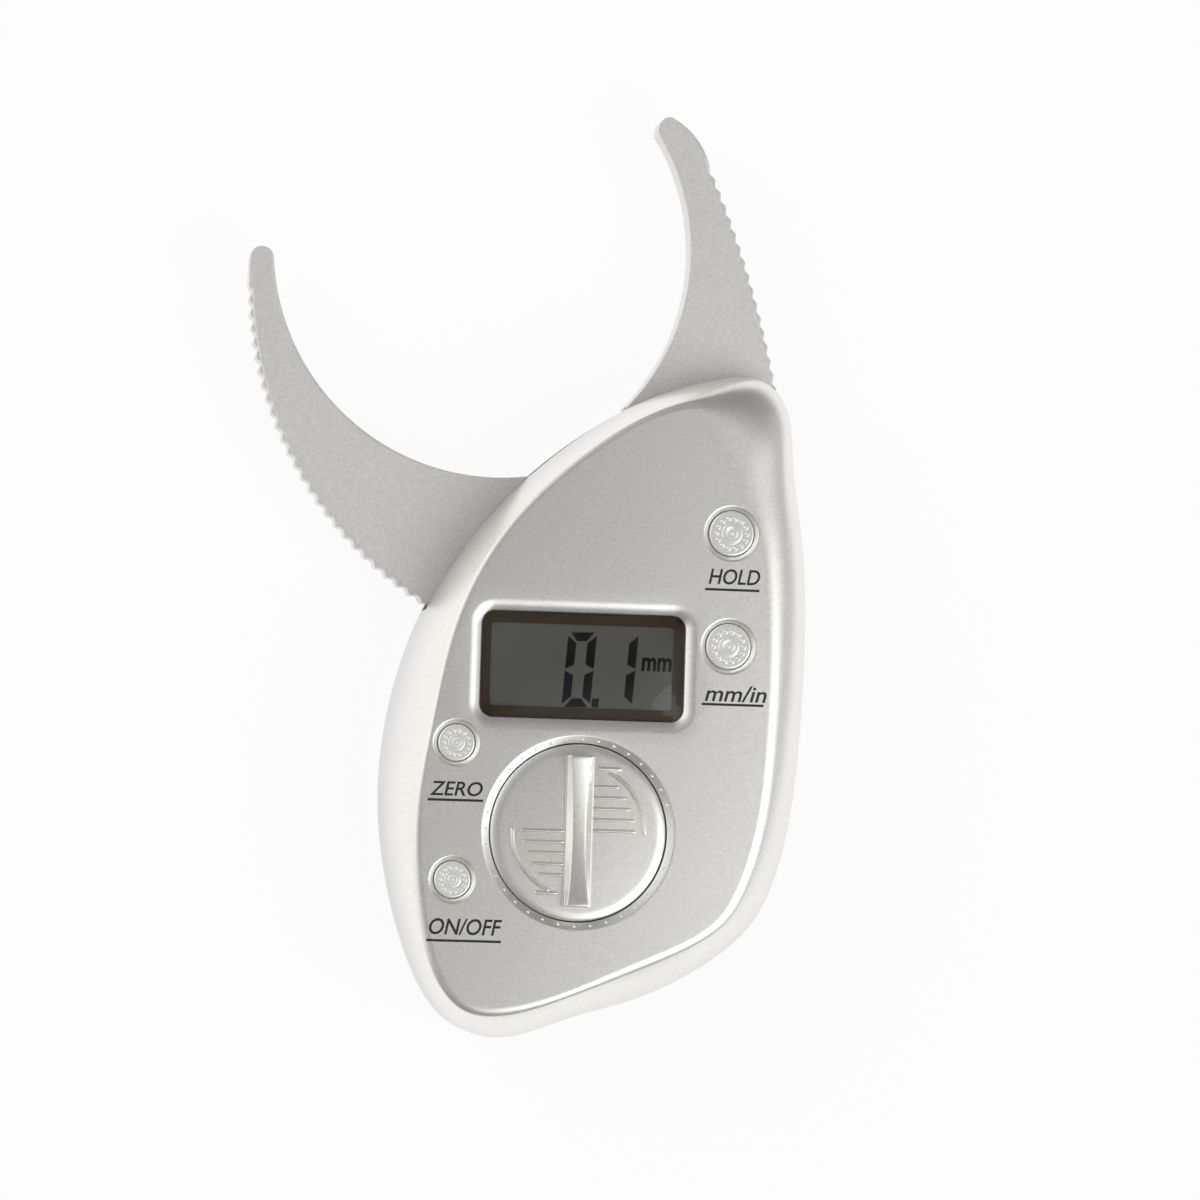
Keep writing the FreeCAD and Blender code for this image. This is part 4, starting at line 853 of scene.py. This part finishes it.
def fixedJaw():
    bottom, top = jaws["bottom"], jaws["top"]
    tip, nose, root, gripEnd, heel = (np.array(jaws[key]) for key in (
        "fixedTip", "fixedNose", "fixedRoot", "fixedGrip", "fixedHeel"))
    # the root's hidden side follows the moving jaw's swing, then the housing's wall
    radius, low = jaws["rootCircle"], jaws["rootLow"]
    last = np.array((math.sqrt(radius ** 2 - low ** 2), low))
    way = last - root
    half = root @ way / (way @ way)
    share = -half - math.sqrt(half ** 2 - (root @ root - radius ** 2) / (way @ way))
    first = root + way * share
    turn = np.linspace(math.atan2(first[1], first[0]), math.atan2(last[1], last[0]), 30)
    swing = around(turn, radius)
    wall = outline(0.0, jaws["rootInset"])[:int(jaws["cornerStation"] * housing["perStation"]) + 1]
    wall = wall[wall[:, 1] > low + jaws["rootStep"]]
    side = np.array((wall[0, 0], low))
    parts = (
        straight(root, first), swing[:-1], straight(swing[-1], side), straight(side, wall[0]),
        wall[:-1], straight(wall[-1], heel),
        grip(heel, gripEnd, jaws["fixedOuterRadius"], jaws["fixedGripDepth"]),
        bulge(gripEnd, nose, jaws["fixedOuterBulge"]), bulge(nose, tip, jaws["fixedTipBulge"]),
        arcBack(root, tip, jaws["innerRadius"]),
    )
    free = freeShare(joined(parts)[0][:, 1], jaws["fixedFree"])
    hole, sink, level = jaws["screwHole"], jaws["screwSink"], jaws["sinkLevel"]
    holes = []
    for station in jaws["screwStations"]:
        place = stationPoint(station, jaws["screwInset"])
        holes.append((place, [(sink, top), (sink, level), (hole, level), (hole, bottom)]))
    place = stationPoint(jaws["headStation"], jaws["screwInset"])
    holes.append((place, [(hole, top), (hole, bottom)]))
    patches = plate(parts, free, holes)
    jaw = makePiece("fixedJawShape", patches, jawSilver, "housing")
    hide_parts("fixed_jaw")


movingJaw()
fixedJaw()
print("jaws made")


# Battery cover
lid = {
    "radius": 15.2, "level": 25.7, "plate": 2.0, "roll": 1.9, "rollDrop": 0.6, "dome": 0.25,
    "lowEdge": 0.1, "skirtOuter": 13.6, "skirtInner": 12.2, "skirtBottom": 21.0,
    "pressRadius": 5.0, "pressBottom": 23.1,
    "tabs": 3, "tabReach": 14.8, "tabTop": 22.1, "tabAngle": 30.0,
    "tabRoot": 0.3, "tabLower": 0.001,      # how far the tabs reach into and below the skirt
    "barLength": 26.0, "barWidth": 4.9, "crestEnd": 3.9, "crestMiddle": 2.4, "crestRim": 0.1,
    "barEnd": 28.0, "barMiddle": 27.0, "barShift": 0.3, "barSunk": 0.15,
    "barRounds": (0.1, 0.05, 0.2, 0.2, 0.05, 0.1), "endLength": 0.35, "endFall": 0.12,
    "ribPitch": 1.88, "ribFirst": 0.12, "ribStart": 2.7, "ribEnds": (9.67, 9.3, 8.55, 7.8, 6.54),
    "ribWidth": 0.66, "ribHeight": 0.5,
    "arcRadius": 11.4, "arcSweep": (0.0, 64.0), "arcWidth": 0.8, "arcHeight": 0.46,
    "barb": ((3.6, 10.75), (6.9, 10.75)), "barbWidth": 0.8, "barbHeight": 0.46,
    "ridgeSunk": 0.03, "footWidth": 0.28, "footHeight": 0.3,
}


# An end of the finger bar: its last section goes outwards by the sine and sinks towards
# the foot by one less the cosine, and is closed in its middle
def barEnd(row, side, foot):
    loops = []
    for turn in np.linspace(0, 1, 5)[1:] * math.pi / 2:
        loop = row.copy()
        loop[:, 1] += side * lid["endLength"] * math.sin(turn)
        loop[:, 2] = foot + (row[:, 2] - foot) * (1 - lid["endFall"] * (1 - math.cos(turn)))
        loops.append(loop)
    return loops + [np.broadcast_to(loops[-1].mean(0), row.shape)]


# Finger bar: along its length the crest is widest and highest at both ends, by the
# square of the way from the middle, and its sides slope straight down to the foot
def fingerBar():
    along = np.linspace(-1, 1, 61)
    foot = lid["level"] - lid["barSunk"]
    crest = lid["crestMiddle"] + (lid["crestEnd"] - lid["crestMiddle"]) * along ** 2
    height = lid["barMiddle"] + (lid["barEnd"] - lid["barMiddle"]) * along ** 2
    x, y = centreX, dial["y"] + lid["barShift"]
    half = lid["barLength"] / 2 - lid["endLength"]
    wide = lid["barWidth"] / 2
    step, ledge = wide - lid["footWidth"], foot + lid["barSunk"] + lid["footHeight"]
    rows = []
    for position, width, level in zip(along, crest, height):
        rim = width / 2 - lid["crestRim"]
        section = softened([
            (wide, foot), (wide, ledge), (step, ledge), (rim, level),
            (-rim, level), (-step, ledge), (-wide, ledge), (-wide, foot),
        ], lid["barRounds"], 4)[::-1]
        station = np.full(len(section), y + position * half)
        rows.append(np.column_stack((x + section[:, 0], station, section[:, 1])))
    return skin(barEnd(rows[0], -1, foot)[::-1] + rows + barEnd(rows[-1], 1, foot))


# The disc falls from its middle by the square of the way out
def discLevel(away):
    return lid["level"] - lid["dome"] * (away / lid["radius"]) ** 2


# A ridge along a path: across it the height is half an ellipse, and its ends are closed
# by the same curve turned about the end point
def ridge(path, width, height):
    path = np.asarray(path, float)
    way = np.gradient(path, axis=0)
    way /= np.hypot(*way.T)[:, None]
    side = np.stack((-way[:, 1], way[:, 0]), 1)
    across = np.cos(np.linspace(0, math.pi, 11))
    turn = np.linspace(-math.pi / 2, 0, 6)
    stations = [(0, angle) for angle in turn] + [(i, 0.0) for i in range(1, len(path) - 1)]
    stations += [(-1, angle) for angle in -turn[::-1]]
    rows = []
    for i, angle in stations:
        share = math.cos(angle)
        middle = path[i] + way[i] * width / 2 * math.sin(angle)
        flat = middle + side[i] * (across * width / 2 * share)[:, None]
        foot = discLevel(np.hypot(*(flat - dialPlace).T)) - lid["ridgeSunk"]
        rows.append(np.column_stack((flat, foot + height * share * np.sqrt(1 - across ** 2))))
    return skin(rows)


def batteryLid():
    radius, press, inside, outside = (
        lid[key] for key in ("radius", "pressRadius", "skirtInner", "skirtOuter"))
    low, high, edge = lid["skirtBottom"], lid["pressBottom"], lid["lowEdge"]
    under, flat = lid["level"] - lid["plate"], radius - lid["roll"]
    profile = [
        (0, high), (press, high), (press, under), (inside, under), (inside, low),
        (outside, low), (outside, under), (radius - edge, under), (radius, under + edge),
    ]
    for angle in np.linspace(0, math.pi / 2, 9):
        profile.append((radius - lid["roll"] * (1 - math.cos(angle)),
                        discLevel(flat) - lid["rollDrop"] * (1 - math.sin(angle))))
    profile += [(away, discLevel(away)) for away in np.linspace(flat, 0, 10)[1:]]
    patches = [turned(profile, 144, dialPlace), fingerBar()]
    low, high = low - lid["tabLower"], lid["tabTop"]
    half = math.radians(lid["tabAngle"]) / 2
    for tab in range(lid["tabs"]):
        middle = 2 * math.pi / lid["tabs"] * tab
        angle = np.linspace(middle - half, middle + half, 12)
        outer = around(angle, lid["tabReach"], dialPlace)
        inner = around(angle[::-1], inside + lid["tabRoot"], dialPlace)
        loop = np.concatenate((outer, inner))
        patches += solid([raised(loop, low), raised(loop, high)])
    shift = np.array((centreX, dial["y"] + lid["barShift"]))
    marks = []
    for row, end in enumerate(lid["ribEnds"]):
        y = lid["ribFirst"] + lid["ribPitch"] * row
        ends = np.array(((lid["ribStart"], y), (end, y)))
        path = between(*ends, np.linspace(0, 1, 12)[:, None])
        marks.append((path, lid["ribWidth"], lid["ribHeight"]))
    path = around(np.radians(np.linspace(*lid["arcSweep"], 40)), lid["arcRadius"])
    marks.append((path, lid["arcWidth"], lid["arcHeight"]))
    path = between(*np.array(lid["barb"]), np.linspace(0, 1, 8)[:, None])
    marks.append((path, lid["barbWidth"], lid["barbHeight"]))
    for side in (1, -1):
        for path, width, height in marks:
            patches.append(ridge(path * side + shift, width, height))
    cover = makePiece(
        "batteryLidShape", patches, silverPaint, "battery_lid", weld=0.0005)
    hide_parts("battery_cover")


batteryLid()
print("battery cover made")


# Buttons.  The cap's height is a rolled rim that falls as a quarter circle, a boss with a
# dimple between eased steps, a nipple that falls by the square of the way out, and a ring
# of small bumps, each falling off as a bell.
cap = {
    "level": 25.78, "flange": 0.9, "flangeTop": 23.9, "flangeBottom": 23.1,
    "stemRadius": 1.5, "stemBottom": 20.0, "rim": 0.35, "rimStart": 3.55, "rimWidth": 0.35,
    "bossRadius": 1.68, "bossSlope": 0.3, "bossHeight": 0.38,
    "dimpleRadius": 0.95, "dimpleSlope": 0.4, "dimpleDepth": 0.34,
    "nippleRadius": 0.36, "nippleHeight": 0.2,
    "bumps": 14, "bumpCircle": 2.62, "bumpRadius": 0.40, "bumpHeight": 0.28, "bumpPower": 1.5,
    "fullRadius": 3.9,      # of the cap these values belong to; smaller ones are scaled
    "rows": 56, "perBump": 16,
}


def capSurface(radius, place):
    columns = cap["bumps"] * cap["perBump"]
    reach = np.linspace(radius, 0, cap["rows"])[:, None]
    angle = (np.arange(columns) * 2 * math.pi / columns)[None, :]
    spread = reach / (radius / cap["fullRadius"])
    rolled = np.clip((spread - cap["rimStart"]) / cap["rimWidth"], 0, 1)
    boss = (cap["bossRadius"] + cap["bossSlope"] / 2 - spread) / cap["bossSlope"]
    dimple = (cap["dimpleRadius"] + cap["dimpleSlope"] / 2 - spread) / cap["dimpleSlope"]
    part = angle * cap["bumps"] / (2 * math.pi)
    beside = (part - np.round(part)) * 2 * math.pi / cap["bumps"] * cap["bumpCircle"]
    away = ((spread - cap["bumpCircle"]) ** 2 + beside ** 2) / cap["bumpRadius"] ** 2
    height = cap["level"] - cap["rim"] * (1 - np.sqrt(1 - rolled ** 2))
    height = height + cap["bossHeight"] * easeStep(boss) - cap["dimpleDepth"] * easeStep(dimple)
    height = height + cap["nippleHeight"] * np.clip(1 - (spread / cap["nippleRadius"]) ** 2, 0, 1)
    height = height + cap["bumpHeight"] * np.clip(1 - away, 0, 1) ** cap["bumpPower"]
    x = place[0] + reach * np.cos(angle)
    y = place[1] + reach * np.sin(angle)
    return np.stack((x, y, np.broadcast_to(height, x.shape)), -1)


def makeButton(name):
    x, y, radius = buttonPlaces[name]
    surface = capSurface(radius, (x, y))
    flange = radius + cap["flange"]
    low, high = cap["flangeBottom"], cap["flangeTop"]
    profile = [
        (0, cap["stemBottom"]), (cap["stemRadius"], cap["stemBottom"]), (cap["stemRadius"], low),
        (flange, low), (flange, high), (radius, high),
    ]
    columns = surface.shape[1]
    loops = [raised(circle(size, columns, (x, y)), level) for size, level in profile]
    patch = skin(np.concatenate((loops, surface)))
    button = makePiece(name + "ButtonShape", [patch], buttonSilver, name + "_key")
    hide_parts(name + "_button")


for name in buttonPlaces:
    makeButton(name)
print("buttons made")


# Printed labels and the rule under each: the words, their span across and along, the
# rule's span across and its middle
labels = {
    "hold": ("HOLD", (18.3, 27.3), (0.1, 2.8), (17.7, 27.2), -0.8),
    "unit": ("mm/in", (18.2, 29.0), (-20.1, -17.3), (17.7, 28.5), -20.6),
    "zero": ("ZERO", (-28.8, -19.7), (-37.7, -35.2), (-29.1, -19.6), -38.4),
    "power": ("ON/OFF", (-28.2, -15.7), (-61.4, -58.6), (-28.6, -15.8), -62.4),
}
ink = {"thick": 0.02, "sunk": 0.03, "rule": 0.42, "shear": 0.22, "weight": 0.012}


# Letters as closed solids, fitted into a width, a length and a span of heights
def textPatch(words, across, along, levels, shear, weight):
    curve = bpy.data.curves.new(words, "FONT")
    curve.body = words
    curve.shear = shear
    curve.offset = weight
    curve.extrude = 0.1     # any thickness does, as the heights are fitted below
    curve.resolution_u = 4
    thing = bpy.data.objects.new(words, curve)
    bpy.context.scene.collection.objects.link(thing)
    mesh = bpy.data.meshes.new_from_object(thing)
    points = np.empty(len(mesh.vertices) * 3)
    mesh.vertices.foreach_get("co", points)
    points = points.reshape(-1, 3)
    faces = [tuple(polygon.vertices) for polygon in mesh.polygons]
    bpy.data.objects.remove(thing)
    bpy.data.curves.remove(curve)
    bpy.data.meshes.remove(mesh)
    low, high = points.min(0), points.max(0)
    start = np.array((across[0], along[0], levels[0]))
    end = np.array((across[1], along[1], levels[1]))
    return (points - low) / (high - low) * (end - start) + start, faces


# A flat shape with upright sides
def slab(corners, low, high):
    loop = np.asarray(corners, float)
    index = np.arange(len(loop))
    points, faces = skin([raised(loop, low), raised(loop, high)])
    return points, faces.tolist() + [index[::-1].tolist(), (index + len(loop)).tolist()]


def makeLabels():
    low, high = housing["top"] - ink["sunk"], housing["top"] + ink["thick"]
    half = ink["rule"] / 2
    patches = []
    for words, across, along, (left, right), y in labels.values():
        patches.append(textPatch(words, across, along, (low, high), ink["shear"], ink["weight"]))
        corners = [(left, y - half), (right, y - half), (right, y + half), (left, y + half)]
        patches.append(slab(corners, low, high))
    makePiece("printedLabels", crowned(patches), labelInk, "housing", weld=0.0001)


makeLabels()
print("labels made")


# Display: the pane over it, and the digits that are switched on
pane = {
    "bottom": 23.24, "flangeTop": 24.0, "top": 25.2, "gap": 0.1, "lip": 0.9, "clear": 0.01,
    "edge": 0.15, "edgeShare": 0.3, "flangeEdge": 0.05,
}
digits = {
    "place": (-6.33, -21.8), "width": 4.95, "height": 12.75, "stroke": 1.5, "gap": 0.16,
    "slant": 0.071, "rise": 0.03, "pitch": 7.25, "corner": 0.45, "low": 22.88, "high": 22.93,
    "lit": ((0, 1, 2, 3, 4, 5), (1, 2)),        # the strokes shown in each cell
    "pointShare": 0.8, "pointGap": 0.25,        # the point's width by a stroke's, and its way off
    "unit": (7.35, 12.55), "unitAlong": (-15.2, -12.85), "unitWeight": 0.03, "unitShear": 0.08,
}


def windowPane():
    shape = (display["width"], display["length"], display["corner"], displayPlace)
    low, high = pane["bottom"], pane["top"]
    gap, lip, edge, bevel = -pane["gap"], pane["lip"], pane["edge"], pane["flangeEdge"]
    step, corner = pane["flangeTop"] - pane["clear"], edge * pane["edgeShare"]
    profile = [
        (lip - bevel, low), (lip, low + bevel), (lip, pane["flangeTop"] - bevel),
        (lip - bevel, step), (gap, step),
        (gap, high - edge), (gap - corner, high - corner), (gap - edge, high),
    ]
    loops = [raised(roundedLoop(*shape, grow), height) for grow, height in profile]
    glass = makePiece("windowPane", solid(loops), clearPane, "housing")
    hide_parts("display_window")


def flipped(shape):
    return [(x, digits["height"] - y) for x, y in shape][::-1]


def mirrored(shape):
    return [(digits["width"] - x, y) for x, y in shape][::-1]


# The seven strokes of a digit, in a cell from its lower left corner, in the order top,
# upper right, lower right, bottom, lower left, upper left, middle
def strokes():
    w, h, s, g, c = (digits[key] for key in ("width", "height", "stroke", "gap", "corner"))
    m, start, end = h / 2, s + g, w - s - g
    top = [(c, h), (start, h - s), (end, h - s), (w - c, h)]
    left = [(0, h - c - g), (0, m + g), (s, m + s / 2 + g), (s, h - s - 2 * g)]
    middle = [(s / 2, m), (start, m - s / 2), (end, m - s / 2)]
    middle += [(w - s / 2, m), (end, m + s / 2), (start, m + s / 2)]
    return [top, mirrored(left), mirrored(flipped(left)), flipped(top), flipped(left), left, middle]


# A stroke as a solid in its cell: it leans by a share of its height and climbs by a
# share of its way across
def stroke(shape, cell):
    flat = np.array(shape, float) + (cell * digits["pitch"], 0)
    flat = flat @ np.array(((1, digits["rise"]), (digits["slant"], 1))) + digits["place"]
    return slab(flat, digits["low"], digits["high"])


def displayDigits():
    shapes = strokes()
    patches = [stroke(shapes[i], cell) for cell, lit in enumerate(digits["lit"]) for i in lit]
    high, start = digits["stroke"], digits["width"] + digits["pointGap"]
    end = start + high * digits["pointShare"]
    patches.append(stroke([(start, 0), (end, 0), (end, high), (start, high)], 0))
    levels = (digits["low"], digits["high"])
    patches.append(textPatch("mm", digits["unit"], digits["unitAlong"], levels,
                             digits["unitShear"], digits["unitWeight"]))
    makePiece("displayDigits", patches, digitInk, "housing", weld=0.0001)


windowPane()
displayDigits()
print("display made")
